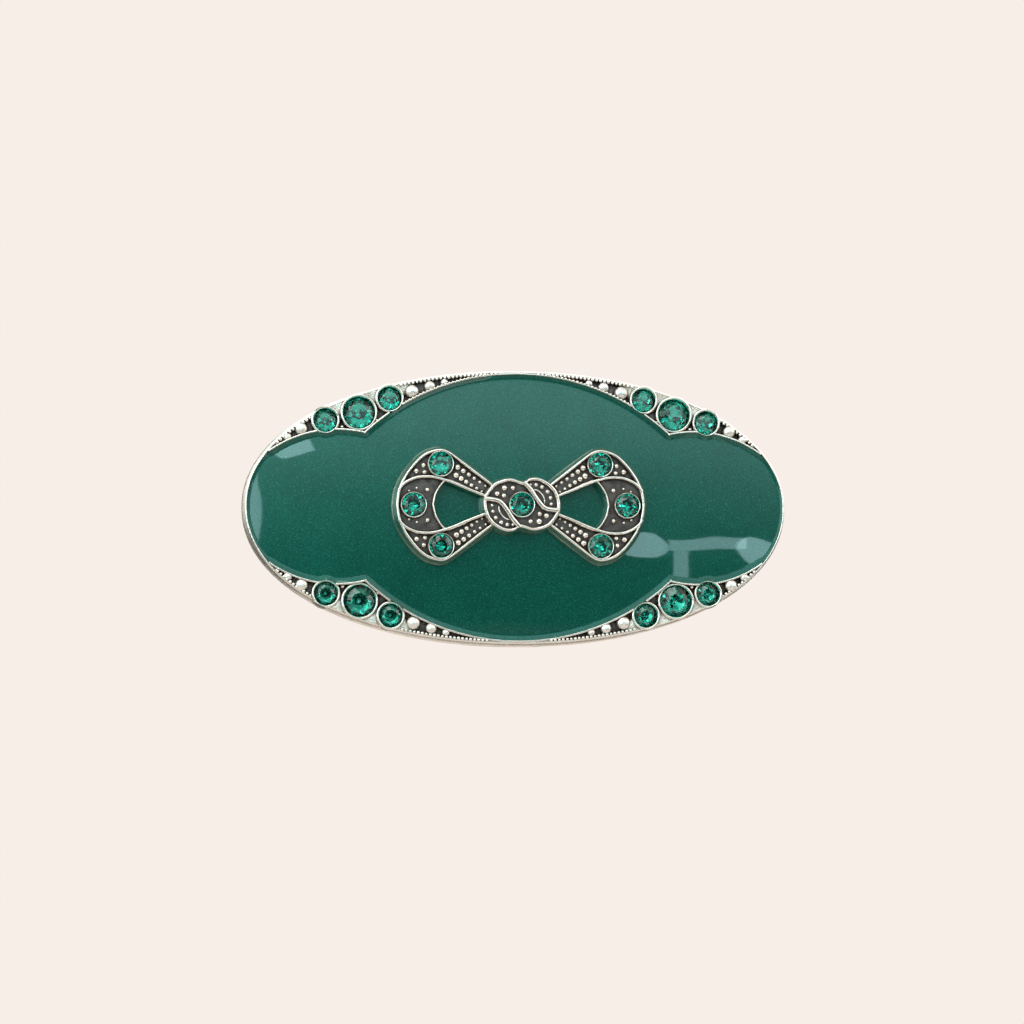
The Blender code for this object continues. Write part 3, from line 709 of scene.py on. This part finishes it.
def build_grain():
    """The corner panels' balls, and the rows of small beads along the rim and the borders."""
    shape = Shape()
    for x, z, radius in four_ways(BALLS):
        bead(shape, x, z, radius, 0.42, lift=0.85, count=24)
    rim_line = [oval_point(RIM_INNER + 0.04, angle) for angle in turns(720)]
    places = resampled(rim_line + rim_line[:1], MILGRAIN_PITCH)[:-1]
    chance = random.Random(SEED)
    for x, z in places:
        size = MILGRAIN_RADIUS * chance.uniform(0.85, 1.1)
        if 4.0 < abs(x) < 33.5 and not in_seat(x, z, 0.5) and not 16.5 < abs(x) < 27.5:
            bead(shape, x, z, size, 0.05, count=10)
    turn = cusp_x(0.0)
    lens_line = [(x, lens_height(x, BORDER_WIDTH * 0.65)) for x in spread(3.0, turn - 5.2, 40)]
    for x, z in four_ways(resampled(lens_line, MILGRAIN_PITCH)):
        if abs(z) < oval_half_height(x, RIM_INNER) and z > 0 and not in_seat(x, z, 0.5):
            bead(shape, x, z, BORDER_BEAD_RADIUS * chance.uniform(0.85, 1.1), -0.02, count=10)
    for x, z in four_ways(((20.2, 10.95), (19.5, 11.9), (24.3, 11.0), (23.9, 10.6), (16.0, 14.35))):
        if not in_seat(x, z, 0.4):
            bead(shape, x, z, 0.24, 0.45, count=10)
    return shape.object("beads", [SATIN], cast=0.03, angle=80)


def build_shoulders():
    """The grained slopes behind the corner stones, fading out at both ends."""
    shape = Shape()
    line = [oval_point(RIM_INNER - 0.1, angle) for angle in spread(0.72, 1.18, 48)]
    slope = ((0.0, 0.04), (0.5, 0.12), (1.2, 0.2), (1.8, 0.32), (2.2, 0.55), (2.35, 1.0), (0.0, 1.0))
    for side_x, side_z in QUARTERS:

        def section(share, toward=side_x * side_z):
            fade = math.sin(min(min(share, 1 - share) / 0.18, 1.0) * math.pi / 2)
            return [(across * toward * (0.3 + 0.7 * fade), depth) for across, depth in slope]

        sweep(shape, [(x * side_x, z * side_z) for x, z in line], section)
    shoulders = shape.object("shoulders", [GRAINY], cast=0.07)
    cut(shoulders, seat_cutters(0.2, -2.0, 2.5))
    return shoulders


def build_plate():
    parts = [build_tray(), build_borders(), build_seats(), build_grain(), build_shoulders()]
    plate = joined("plate_casting", parts)
    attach(plate, "jewel")
    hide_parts("frame_plate")


# ---- enamel
def enamel_height(x):
    height = min(max(lens_height(x, 0.04), lobe_height(x, 0.04)), oval_half_height(x, RIM_INNER - 0.03))
    for _, sx, sz, radius, _, _ in CORNER_STONES:
        clear = radius + 0.25
        if sz > 0 and abs(abs(x) - abs(sx)) < clear:
            height = min(height, sz - math.sqrt(clear ** 2 - (abs(x) - abs(sx)) ** 2))
    return max(height, 0.0)


def build_enamel():
    """Poured enamel. It climbs a little where it wets the metal around it."""
    end = HALF_LENGTH - RIM_INNER + 0.03
    columns = [end * math.sin(t) for t in spread(-math.pi / 2, math.pi / 2, 420)][1:-1]
    rows = [math.sin(t) for t in spread(-math.pi / 2, math.pi / 2, 110)]
    heights = [enamel_height(x) for x in columns]
    edge = [(x, h) for x, h in zip(columns, heights)]
    edge = np.array([(-end, 0.0)] + edge + [(end, 0.0)])
    outline = np.concatenate([edge, edge[::-1] * np.array([1, -1])])
    starts, ends = outline, np.roll(outline, -1, axis=0)
    at_rim = np.array([abs(z) > oval_half_height(x, RIM_INNER - 0.03) - 0.02 for x, z in outline])
    reach = np.where(at_rim, CLIMB_AT_RIM, CLIMB_AT_BORDER)
    reach = np.mean([np.roll(reach, shift) for shift in range(-6, 7)], axis=0)

    def climb(points):
        """How far each point stands above the flow level, from its distance to the outline."""
        found = []
        span = ends - starts
        length = np.maximum((span ** 2).sum(1), 1e-12)
        for point in points:
            along = np.clip(((point - starts) * span).sum(1) / length, 0, 1)
            gaps = np.sqrt((((starts + span * along[:, None]) - point) ** 2).sum(1))
            nearest = gaps.argmin()
            rest = max(reach[nearest] - gaps[nearest], 0.0)
            found.append(CLIMB_SLOPE * rest * rest / (rest + 0.1))
        return found

    shape = Shape()
    rings = []
    for x, height in zip(columns, heights):
        places = [(x, height * row) for row in rows]
        lifts = climb(np.array(places))
        front = [(px, dome(px, pz) + ENAMEL_LEVEL - lift, pz) for (px, pz), lift in zip(places, lifts)]
        behind = [(px, dome(px, pz) + FLOOR - 0.05, pz) for px, pz in reversed(places[::4])]
        rings.append(front + behind)
    shape.loft(rings)
    enamel = shape.object("enamel_fill", [ENAMEL], angle=60)
    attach(enamel, "jewel")
    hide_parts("enamel")


# ---- bow
def ray_loft(centre, outer, inner, profile):
    """Rings around a centre. Each profile row is (share from outer to inner, offset inward, depth)."""
    count = len(outer)
    rings = []
    for share, inward, depth in profile:
        ring = []
        for angle, far, near in zip(turns(count), outer, inner):
            radius = far + (near - far) * share - inward
            x, z = centre[0] + radius * math.cos(angle), centre[1] + radius * math.sin(angle)
            ring.append((x, dome(x, z) - depth, z))
        rings.append(ring)
    return rings


def bow_seat(shape, x, z, radius, top, foot):
    r = radius
    turned(shape, x, z, dome(x, z), (
        (r + 0.26, -foot), (r + 0.23, -top + 0.3), (r + 0.2, -top + 0.08), (r + 0.14, -top),
        (r + 0.08, -top + 0.02), (r + 0.04, -top + 0.1), (r + 0.02, -top + 0.25), (r + 0.02, -foot)),
        count=48, loop=True)


def build_loop(side):
    shape = Shape()
    count = 220
    centre = (LOOP_CENTRE * side, 0.0)
    outline = [(x * side, z) for x, z in mirrored_below(rounded(LOOP_OUTLINE))]
    window = [(x * side, z) for x, z in mirrored_below(rounded(WINDOW_OUTLINE))]
    outer = radii_around(outline, centre, count)
    inner = radii_around(window, centre, count)
    top, floor = BOW_HEIGHT, BOW_FLOOR
    profile = [(0, -0.46, BOW_FOOT), (0, -0.45, 0.26), (0, -0.4, 0.36), (0, -0.32, 0.48), (0, -0.2, 0.9),
               (0, -0.08, 1.3), (0, 0.03, top - 0.16),
               (0, 0.08, top - 0.04), (0, 0.16, top), (0, 0.28, top), (0, 0.36, top - 0.05),
               (0, 0.4, top - 0.2), (0, 0.44, floor + 0.1), (0, 0.5, floor),
               (0.5, 0.0, floor), (1, -0.4, floor), (1, -0.34, floor + 0.1), (1, -0.3, top - 0.32),
               (1, -0.25, top - 0.17), (1, -0.19, top - 0.12), (1, -0.12, top - 0.12),
               (1, -0.06, top - 0.17), (1, -0.01, top - 0.32), (1, 0.06, 1.0), (1, 0.14, BOW_FOOT)]
    looks = [0] * 12 + [1] * 4 + [0] * 9
    band = Shape()
    band.loft(ray_loft(centre, outer, inner, profile), loop=True, looks=looks)
    section = ridge(0.36, -top - 0.02, -floor + 0.3)
    beads = list(LOOP_BEADS)
    for (x0, z0), (x1, z1) in STRAND_ROWS:
        for share in spread(0.0, 1.0, 5):
            beads.append((x0 + (x1 - x0) * share, z0 + (z1 - z0) * share,
                          STRAND_BEADS[0] + (STRAND_BEADS[1] - STRAND_BEADS[0]) * share))
    for below in (1, -1):
        sweep(shape, [(x * side, z * below) for x, z in rounded(SIDE_RIDGE)], section)
        for x, z, radius in beads:
            bead(shape, x * side, z * below, radius, -floor, lift=1.15, count=16)
    return band, shape


def half_turned(points):
    return [*points, *((-x, -z, *rest) for x, z, *rest in points)]


def build_knot():
    shape = Shape()
    count = 260
    closed = half_turned(KNOT_OUTLINE)
    line = rounded([closed[-1], *closed, closed[0], closed[1]], 8)[8:-8]
    outer = radii_around(line, (0.0, 0.0), count)
    top, floor = KNOT_HEIGHT, KNOT_FLOOR
    profile = [(0, -0.36, BOW_FOOT), (0, -0.3, 0.6), (0, -0.14, 1.4), (0, 0.02, top - 0.2),
               (0, 0.09, top - 0.06), (0, 0.19, top), (0, 0.33, top), (0, 0.43, top - 0.06),
               (0, 0.5, top - 0.2), (0, 0.55, floor + 0.08), (0, 0.6, floor), (0.5, 0.3, floor),
               (1, 0, floor)]
    looks = [0] * 9 + [1] * 3
    body = Shape()
    body.loft(ray_loft((0.0, 0.0), outer, [0.4] * count, profile), looks=looks)
    for turn in (1, -1):
        path = [(x * turn, z * turn) for x, z in rounded(KNOT_RIDGE)]
        sweep(shape, path, ridge(0.6, -top - 0.08, -floor + 0.3))
        groove = [(x * turn, z * turn) for x, z in rounded(KNOT_GROOVE)]
        sweep(shape, groove, ridge(0.2, -floor - 0.22, -floor + 0.2, 0.2))
    for x, z, radius in half_turned(KNOT_LOBE_BEADS + KNOT_STRAND_BEADS):
        bead(shape, x, z, radius, -floor + 0.05, lift=1.1, count=16)
    return body, shape


def build_bow():
    bodies, details = zip(build_loop(-1), build_loop(1), build_knot())
    seats = Shape()
    for name, x, z, radius, _, _ in BOW_STONES:
        centre = "centre" in name
        bow_seat(seats, x, z, radius, (KNOT_HEIGHT if centre else BOW_HEIGHT) + 0.02, 0.4)
    objects = [shape.object("bow_part", [POLISHED, OXIDISED], cast=0.025, angle=50)
               for shape in (*bodies, *details, seats)]
    for part in objects[:3]:
        cutters = Shape()
        for _, x, z, radius, _, _ in BOW_STONES:
            turned(cutters, x, z, dome(x, z),
                   ((0, -4), (radius + 0.12, -4), (radius + 0.12, -0.05), (0, -0.05)))
        cut(part, cutters.object("pockets", [OXIDISED]))
    bow = joined("bow_casting", objects)
    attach(bow, "jewel")
    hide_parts("bow_ornament")


# ---- stones
def stone_shape(radius, depth, turn):
    """A brilliant cut around -Y: table, star, kite and girdle facets, and a pointed back."""
    sides = 8
    step = math.pi / sides

    def ring(r, y, count, start):
        return [(u, y, v) for u, v in around(r, count, turn + start)]

    crown = CROWN * radius
    table = ring(0.56 * radius, -crown, sides, 0.0)
    kite = ring(0.8 * radius, -crown * 0.52, sides, step)
    girdle_top = ring(radius, -0.05 * radius, 2 * sides, 0.0)
    girdle_low = ring(radius, 0.05 * radius, 2 * sides, 0.0)
    lower = ring(0.52 * radius, depth * 0.55, sides, step)
    shape = Shape()
    shape.points = table + kite + girdle_top + girdle_low + lower + [(0.0, depth, 0.0)]
    t, k, g, h, w, tip = 0, sides, 2 * sides, 4 * sides, 6 * sides, 7 * sides
    shape.face(range(t, t + sides), 0)
    for i in range(sides):
        j = (i + 1) % sides
        before = (i - 1) % sides
        shape.face([t + i, t + j, k + i], 0)
        shape.face([t + i, k + i, g + 2 * i, k + before], 0)
        shape.face([k + i, g + 2 * i + 1, g + 2 * i], 0)
        shape.face([k + i, g + (2 * i + 2) % (2 * sides), g + 2 * i + 1], 0)
        shape.face([h + 2 * i, h + 2 * i + 1, w + i], 1)
        shape.face([h + 2 * i + 1, h + (2 * i + 2) % (2 * sides), w + i], 1)
        shape.face([h + 2 * i, w + i, tip, w + before], 1)
    for i in range(2 * sides):
        j = (i + 1) % (2 * sides)
        shape.face([g + i, g + j, h + j, h + i], 0)
    return shape


def build_stones():
    chance = random.Random(SEED + 1)
    for name, x, z, radius, girdle, back in STONES:
        depth = 0.72 * radius if "_bow_" not in name else 0.8 * radius
        shape = stone_shape(radius, depth, chance.uniform(0, math.pi / 4))
        tilt = Matrix.Rotation(math.radians(chance.uniform(-2.5, 2.5)), 3, "X")
        tilt = tilt @ Matrix.Rotation(math.radians(chance.uniform(-2.5, 2.5)), 3, "Z")
        lean = Vector((2 * DOME_X * x, -1.0, 2 * DOME_Z * z)).normalized()
        face_out = Vector((0, -1, 0)).rotation_difference(lean).to_matrix()
        move = Vector((x, girdle, z))
        shape.points = [tuple(move + face_out @ tilt @ Vector(p)) for p in shape.points]
        gem = shape.object(name.replace("stone", "gem"), [GLASS, FOIL], angle=1)
        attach(gem, "jewel")
        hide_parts(name)


# ---- clasp
def bar_outline(x0, x1, half, left, right, steps=6):
    """A bar seen from behind, with rounded corners of these radii."""
    points = []
    for cx, cz, radius, start in (
            (x1 - right, half - right, right, 0), (x0 + left, half - left, left, 90),
            (x0 + left, -half + left, left, 180), (x1 - right, -half + right, right, 270)):
        for angle in spread(start, start + 90, steps):
            a = math.radians(angle)
            points.append((cx + radius * math.cos(a), cz + radius * math.sin(a)))
    return points


def slab(outline, y0, y1):
    shape = Shape()
    shape.loft([[(x, y, z) for x, z in outline] for y in (y0, y1)])
    return shape.object("slab", [BAR_STEEL])


def post(radius, start, end, count=48):
    """A round bar between two points."""
    start, end = Vector(start), Vector(end)
    axis = (end - start).normalized()
    across = axis.orthogonal().normalized()
    other = axis.cross(across)
    shape = Shape()
    rings = []
    for centre in (start, end):
        rings.append([tuple(centre + across * u + other * v) for u, v in around(radius, count)])
    shape.loft(rings)
    return shape.object("post", [BAR_STEEL])


def hinge_post(radius, z0, z1, count=48):
    return post(radius, (HINGE_X, HINGE_Y, z0), (HINGE_X, HINGE_Y, z1), count)


def block(x0, x1, y0, y1, z0, z1):
    shape = Shape()
    shape.loft([[(x, y0, z0), (x, y1, z0), (x, y1, z1), (x, y0, z1)] for x in (x0, x1)])
    return shape.object("block", [BAR_STEEL])


def bent(obj, step=1.0):
    """Slices a straight bar along X and bows it like the plate."""
    bm = bmesh.new()
    bm.from_mesh(obj.data)
    low = min(v.co.x for v in bm.verts) / MM
    high = min(max(v.co.x for v in bm.verts) / MM, BOW_FLAT + 0.1)
    x = math.ceil(low / step) * step
    while x < high:
        bmesh.ops.bisect_plane(bm, geom=bm.verts[:] + bm.edges[:] + bm.faces[:], dist=1e-7,
                               plane_co=(x * MM, 0.0, 0.0), plane_no=(1.0, 0.0, 0.0))
        x += step
    for vertex in bm.verts:
        vertex.co.y += bar_bow(vertex.co.x / MM) * MM
    bm.to_mesh(obj.data)
    bm.free()


def softened(obj, name, material, width, body, node):
    """Rounds the worked edges, and hands the piece to its body."""
    bevel = obj.modifiers.new("edges", "BEVEL")
    bevel.width = width * MM
    bevel.segments = 3
    bevel.limit_method = "ANGLE"
    bevel.angle_limit = math.radians(42)
    mesh = evaluated(obj)
    bpy.data.objects.remove(obj, do_unlink=True)
    made = finished(name, mesh, [material], angle=35)
    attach(made, body)
    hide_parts(node)


def build_clip_base():
    base = slab(bar_outline(BASE_START, END_X, BASE_HALF_WIDTH, 1.2, 1.6), BASE_LEVEL, BASE_BACK)
    for x in (-RIVET_X, RIVET_X):
        cut(base, post(1.0, (x, BASE_LEVEL - 1, 0), (x, BASE_BACK + 1, 0)))
    slot_outline = bar_outline(-7.0, 7.0, 1.1, 1.05, 1.05)
    for middle in (-5.0, 5.0):
        tool = slab([(x * 0.55 + middle, z) for x, z in slot_outline], BASE_LEVEL - 1, BASE_BACK + 1)
        cut(base, tool)
    bent(base)
    foot = BASE_LEVEL + END_BOW + 0.1
    for side in (-1, 1):
        z0, z1 = sorted((side * LUG_INNER, side * BASE_HALF_WIDTH))
        lug = block(HINGE_X - LUG_RADIUS, HINGE_X + LUG_RADIUS, foot, HINGE_Y, z0, z1)
        combine(lug, hinge_post(LUG_RADIUS, z0, z1, 56))
        combine(base, lug)
    cut(base, hinge_post(BORE_RADIUS, -BORE_REACH, BORE_REACH))
    softened(base, "clip_bar", BAR_STEEL, 0.12, "jewel", "clip_base")


def build_pin():
    shape = Shape()
    head = ((0, 4.78), (0.55, 4.78), (0.95, 4.68), (1.2, 4.5), (1.28, 4.3), (1.2, 4.08), (PIN_RADIUS, 4.02))
    profile = [(r, -z) for r, z in head] + list(reversed(head))
    rings = [[(HINGE_X + u, HINGE_Y + v, z) for u, v in around(r, 40 if r else 1)] for r, z in profile]
    shape.loft(rings)
    pin = shape.object("pin", [PIN_STEEL])
    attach(pin, "jewel")
    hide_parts("hinge_pin")


def build_rivets():
    for node, x in (("rivet_left", -RIVET_X), ("rivet_right", RIVET_X)):
        seat = BASE_BACK + bar_bow(x)
        shape = Shape()
        turned(shape, x, 0.0, seat, (
            (0, -1.5), (0.78, -1.5), (0.78, 0.02), (1.78, 0.02), (1.8, 0.14),
            (1.68, 0.36), (1.4, 0.58), (1.0, 0.76), (0.5, 0.86), (0, 0.88)))
        rivet = shape.object(node + "_head", [PIN_STEEL])
        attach(rivet, "jewel")
        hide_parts(node)


def build_arm():
    arm = slab(bar_outline(HINGE_X, ARM_TIP_X, ARM_HALF_WIDTH, 0.05, 1.3), ARM_INNER, ARM_OUTER)
    under, over = ARM_INNER - 1, ARM_OUTER + 1
    notch = block(HINGE_X - 5, HINGE_X + ARM_NOTCH, under, over, -ARM_NOTCH_HALF, ARM_NOTCH_HALF)
    cut(arm, notch)
    cut(arm, slab(bar_outline(*ARM_WINDOW, 0.3, 0.3), under, over))
    for side in (-1, 1):
        groove = slab([(x, z + 1.75 * side) for x, z in bar_outline(-25.0, 24.0, 0.28, 0.27, 0.27)],
                      ARM_OUTER - 0.16, over)
        cut(arm, groove)
    bent(arm)
    for side in (-1, 1):
        combine(arm, hinge_post(ARM_KNUCKLE_RADIUS, side * ARM_NOTCH_HALF, side * ARM_HALF_WIDTH, 56))
    cut(arm, hinge_post(BORE_RADIUS, -BORE_REACH, BORE_REACH))
    softened(arm, "closing_arm", BAR_STEEL, 0.1, "arm", "clip_arm")


def leaf_line():
    """The leaf's middle line seen from the side: one arch, then a small upturned tip."""
    start = (HINGE_X, HINGE_Y - LEAF_KNUCKLE_RADIUS + 0.2)
    top = (-2.0, ARM_INNER + 0.9)
    tip = (LEAF_TIP_X, BASE_BACK + bar_bow(LEAF_TIP_X) + 0.6)
    line = [tuple((1 - t) ** 2 * a + 2 * t * (1 - t) * b + t * t * c for a, b, c in zip(start, top, tip))
            for t in spread(0.0, 1.0, 60)]
    return line + [(LEAF_TIP_X + s, tip[1] + 0.15 * (s / LEAF_TIP_LENGTH) ** 1.5)
                   for s in (0.5, 1.0, 1.4, 1.7, 1.9, LEAF_TIP_LENGTH)]


def build_leaf():
    shape = Shape()
    rings = []
    for x, y in leaf_line():
        share = min(max((x - HINGE_X - 2.0) / 4.0, 0.0), 1.0)
        width = LEAF_NECK_HALF + LEAF_WIDENING * (share * share * (3 - 2 * share))
        if x > LEAF_TIP_X:
            width *= math.sqrt(max(1 - ((x - LEAF_TIP_X) / (LEAF_TIP_LENGTH * 1.01)) ** 2, 0.02))
        ring = [(-1, -0.6), (-0.97, -1), (-0.5, -1), (0, -1), (0.5, -1), (0.97, -1), (1, -0.6),
                (1, 0.6), (0.97, 1), (0.5, 1), (0, 1), (-0.5, 1), (-0.97, 1), (-1, 0.6)]
        rings.append([(x, y + v * LEAF_HALF_THICKNESS + LEAF_CURL * (1 - u * u) * share, u * width)
                      for u, v in ring])
    shape.loft(rings)
    leaf = shape.object("leaf", [LEAF_STEEL])
    combine(leaf, hinge_post(LEAF_KNUCKLE_RADIUS, -LEAF_NECK_HALF, LEAF_NECK_HALF, 56))
    cut(leaf, hinge_post(BORE_RADIUS, -BORE_REACH, BORE_REACH))
    softened(leaf, "spring_leaf", LEAF_STEEL, 0.06, "leaf", "tension_leaf")


def build_catch():
    """The two bent-up blades, each with a barbed hook and a flared pinch wing."""
    root = BASE_BACK + END_BOW - 0.05
    shoulder = ARM_INNER + END_BOW - 0.6
    hook_base = ARM_OUTER + END_BOW + 0.3
    inner, outer = BLADE_INNER, BLADE_OUTER
    top = hook_base + 0.7
    for node, side, body in (("catch_upper", 1, "upper_blade"), ("catch_lower", -1, "lower_blade")):

        def plate(points, x0, x1):
            shape = Shape()
            shape.loft([[(x, y, z * side) for y, z in points] for x in (x0, x1)])
            return shape.object("blade", [BAR_STEEL])

        blade = plate([(root, inner), (root, outer), (shoulder, outer), (shoulder, inner)], CATCH_X, END_X)
        combine(blade, plate([(shoulder - 0.2, inner), (shoulder - 0.2, outer), (hook_base, outer),
                              (hook_base + 0.05, outer + 0.95), (hook_base + 0.35, outer + 0.6),
                              (top, outer + 0.1), (top, inner)], CATCH_X, CATCH_X + HOOK_LENGTH))
        flare = [(shoulder + 0.2 + 2.4 * t, outer + 2.6 * t ** 1.3) for t in spread(0.0, 1.0, 6)]
        flare += [(shoulder + 0.4 + 2.5 * t, inner + 2.4 * t ** 1.3) for t in spread(1.0, 0.0, 6)]
        wing = plate([(shoulder - 0.3, inner), (shoulder - 0.3, outer), *flare], END_X - WING_LENGTH, END_X)
        combine(blade, wing)
        softened(blade, node.replace("catch", "latch"), BAR_STEEL, 0.08, body, node)


# ---- stage
CAMERA_AZIMUTH = -7.8
CAMERA_ELEVATION = -5.3
CAMERA_ROLL = 0.45
CAMERA_DISTANCE = 0.5
LENS = 127.7
SHIFT = (-0.0076, -0.0059)
BACKDROP = (0.939, 0.855, 0.807)
FLOOR_RADIUS = 0.3
FLOOR_LEVEL = -0.085
WARM = (1.0, 0.98, 0.95)
COOL = (0.6, 0.95, 1.0)
# name, azimuth, elevation, distance, width, height, radiance, tint, roll, shape
LIGHTS = (
    ("key", -30, 58, 0.8, 0.5, 0.3, 3.4),
    ("fill_left", -75, 12, 0.8, 0.22, 0.8, 1.8),
    ("fill_right", 72, 15, 0.8, 0.22, 0.8, 1.5),
    ("rear", 165, 45, 0.9, 0.9, 0.6, 2.5),
    ("under", 10, -62, 0.9, 0.5, 0.25, 3.4),
    ("low_front", 22, -27, 0.6, 0.16, 0.16, 3.2),
    ("window_bow", 18.1, -1.6, 0.6, 0.042, 0.05, 5.7, COOL, 30, "ELLIPSE"),
    ("window_band", 23.6, -1.5, 0.6, 0.07, 0.019, 5.7, COOL),
    ("window_leg", 21.5, -5.5, 0.6, 0.018, 0.064, 5.2, COOL),
    ("window_lobe", 27.9, -2.6, 0.6, 0.036, 0.05, 6.0, COOL, 30, "ELLIPSE"),
    ("window_end", 31.2, 2.0, 0.6, 0.02, 0.07, 5.6, COOL),
    ("window_left", -15.7, 5.0, 0.6, 0.03, 0.21, 5.7, COOL),
    ("side_left", -37, 5.0, 0.6, 0.36, 0.21, 3.0, COOL),
    ("window_upper_left", -11.9, 16.6, 0.6, 0.034, 0.045, 7.5, COOL, 20),
)


def direction(azimuth, elevation):
    a, e = math.radians(azimuth), math.radians(elevation)
    return Vector((math.sin(a) * math.cos(e), -math.cos(a) * math.cos(e), math.sin(e)))


def build_camera():
    data = bpy.data.cameras.new("camera")
    data.lens = LENS
    data.sensor_width = 36.0
    data.shift_x, data.shift_y = SHIFT
    data.clip_start = 0.01
    camera = placed("camera", data)
    aim = Vector((0.0, CREST * MM, 0.0))
    toward = direction(CAMERA_AZIMUTH, CAMERA_ELEVATION)
    camera.location = aim + toward * CAMERA_DISTANCE
    turn = toward.to_track_quat("Z", "Y").to_matrix().to_4x4()
    roll = Matrix.Rotation(math.radians(-CAMERA_ROLL), 4, "Z")
    camera.rotation_euler = (turn @ roll).to_euler()
    bpy.context.scene.camera = camera


def softbox(name, azimuth, elevation, distance, width, height, radiance, tint=WARM, roll=0,
            shape="RECTANGLE"):
    """A soft lamp facing the object. Angles in degrees, the rest in metres."""
    data = bpy.data.lights.new(name, "AREA")
    data.shape = shape
    data.size = width
    data.size_y = height
    data.energy = radiance * math.pi * width * height
    data.color = tint
    lamp = placed(name, data)
    toward = direction(azimuth, elevation)
    lamp.location = toward * distance
    turn = toward.to_track_quat("Z", "Y").to_matrix() @ Matrix.Rotation(math.radians(roll), 3, "Z")
    lamp.rotation_euler = turn.to_euler()
    lamp.visible_camera = False


def build_world():
    """A studio gradient: dark below, bright at the horizon, cooler straight ahead."""
    world = bpy.data.worlds.new("studio")
    bpy.context.scene.world = world
    world.use_nodes = True
    tree = world.node_tree
    tree.nodes.clear()

    def add(kind, *sources, **values):
        node = tree.nodes.new(kind)
        for name, value in values.items():
            setattr(node, name, value)
        for source, target in zip(sources, node.inputs):
            tree.links.new(source, target)
        return node

    def ramp(source, low, high, to_low=0.0, to_high=1.0):
        node = add("ShaderNodeMapRange", source, interpolation_type="SMOOTHSTEP")
        for name, number in zip(("From Min", "From Max", "To Min", "To Max"), (low, high, to_low, to_high)):
            node.inputs[name].default_value = number
        return node.outputs[0]

    def spot(azimuth, elevation, outer, inner, to_low=0.0, to_high=1.0):
        """A round area of the sky that changes between two angles from its middle."""
        facing = add("ShaderNodeVectorMath", where, operation="DOT_PRODUCT")
        facing.inputs[1].default_value = direction(azimuth, elevation)
        edges = (math.cos(math.radians(outer)), math.cos(math.radians(inner)))
        return ramp(facing.outputs["Value"], *edges, to_low, to_high)

    def product(a, b):
        return add("ShaderNodeMath", a, b, operation="MULTIPLY").outputs[0]

    where = add("ShaderNodeTexCoord").outputs["Generated"]
    height = add("ShaderNodeSeparateXYZ", where).outputs["Z"]
    upward = product(ramp(height, -0.2, 0.45, 0.1, 1.9), ramp(height, 0.45, 0.85, 1.0, 0.4))
    strength = product(upward, spot(5, -25, 50, 14, 1.0, 0.3))
    tint = add("ShaderNodeMix", spot(5, 20, 55, 12), data_type="RGBA")
    tint.inputs[6].default_value = (1.0, 0.97, 0.93, 1.0)
    tint.inputs[7].default_value = (0.76, 0.95, 1.0, 1.0)
    glow = add("ShaderNodeBackground", tint.outputs[2], strength)
    plain = add("ShaderNodeBackground")
    plain.inputs["Color"].default_value = (*BACKDROP, 1.0)
    ray = add("ShaderNodeLightPath")
    pick = add("ShaderNodeMixShader", ray.outputs["Is Camera Ray"], glow.outputs[0], plain.outputs[0])
    add("ShaderNodeOutputWorld", pick.outputs[0])


def build_floor():
    """A pale round floor that fades into the backdrop toward its edge."""
    level = FLOOR_LEVEL / MM
    reach = [share * FLOOR_RADIUS / MM for share in (0.25, 0.5, 0.75, 1.0)]
    shape = Shape()
    rings = [[(0.0, 0.0, level)]]
    rings += [[(u, v, level) for u, v in around(r, 96)] for r in reach]
    shape.loft(rings, caps=False)
    n = Nodes("floor")
    where = n.add("ShaderNodeTexCoord")
    length = n.add("ShaderNodeVectorMath", operation="LENGTH")
    n.feed(length.inputs[0], where.outputs["Object"])
    fade = n.span(length.outputs["Value"], FLOOR_RADIUS * 0.55, FLOOR_RADIUS * 0.98, 1.0, 0.0)
    colour = n.mix(n.noise(0.05, 2.0), (0.47, 0.43, 0.405), (0.49, 0.445, 0.42))
    floor = shape.object("floor", [n.set(Base_Color=colour, Roughness=0.8, Alpha=fade)], boxed=False)


build_camera()
build_plate()
build_enamel()
build_bow()
build_stones()
build_clip_base()
build_pin()
build_rivets()
build_arm()
build_leaf()
build_catch()
for light in LIGHTS:
    softbox(*light)
build_world()
build_floor()
bpy.context.scene.view_settings.view_transform = "Standard"
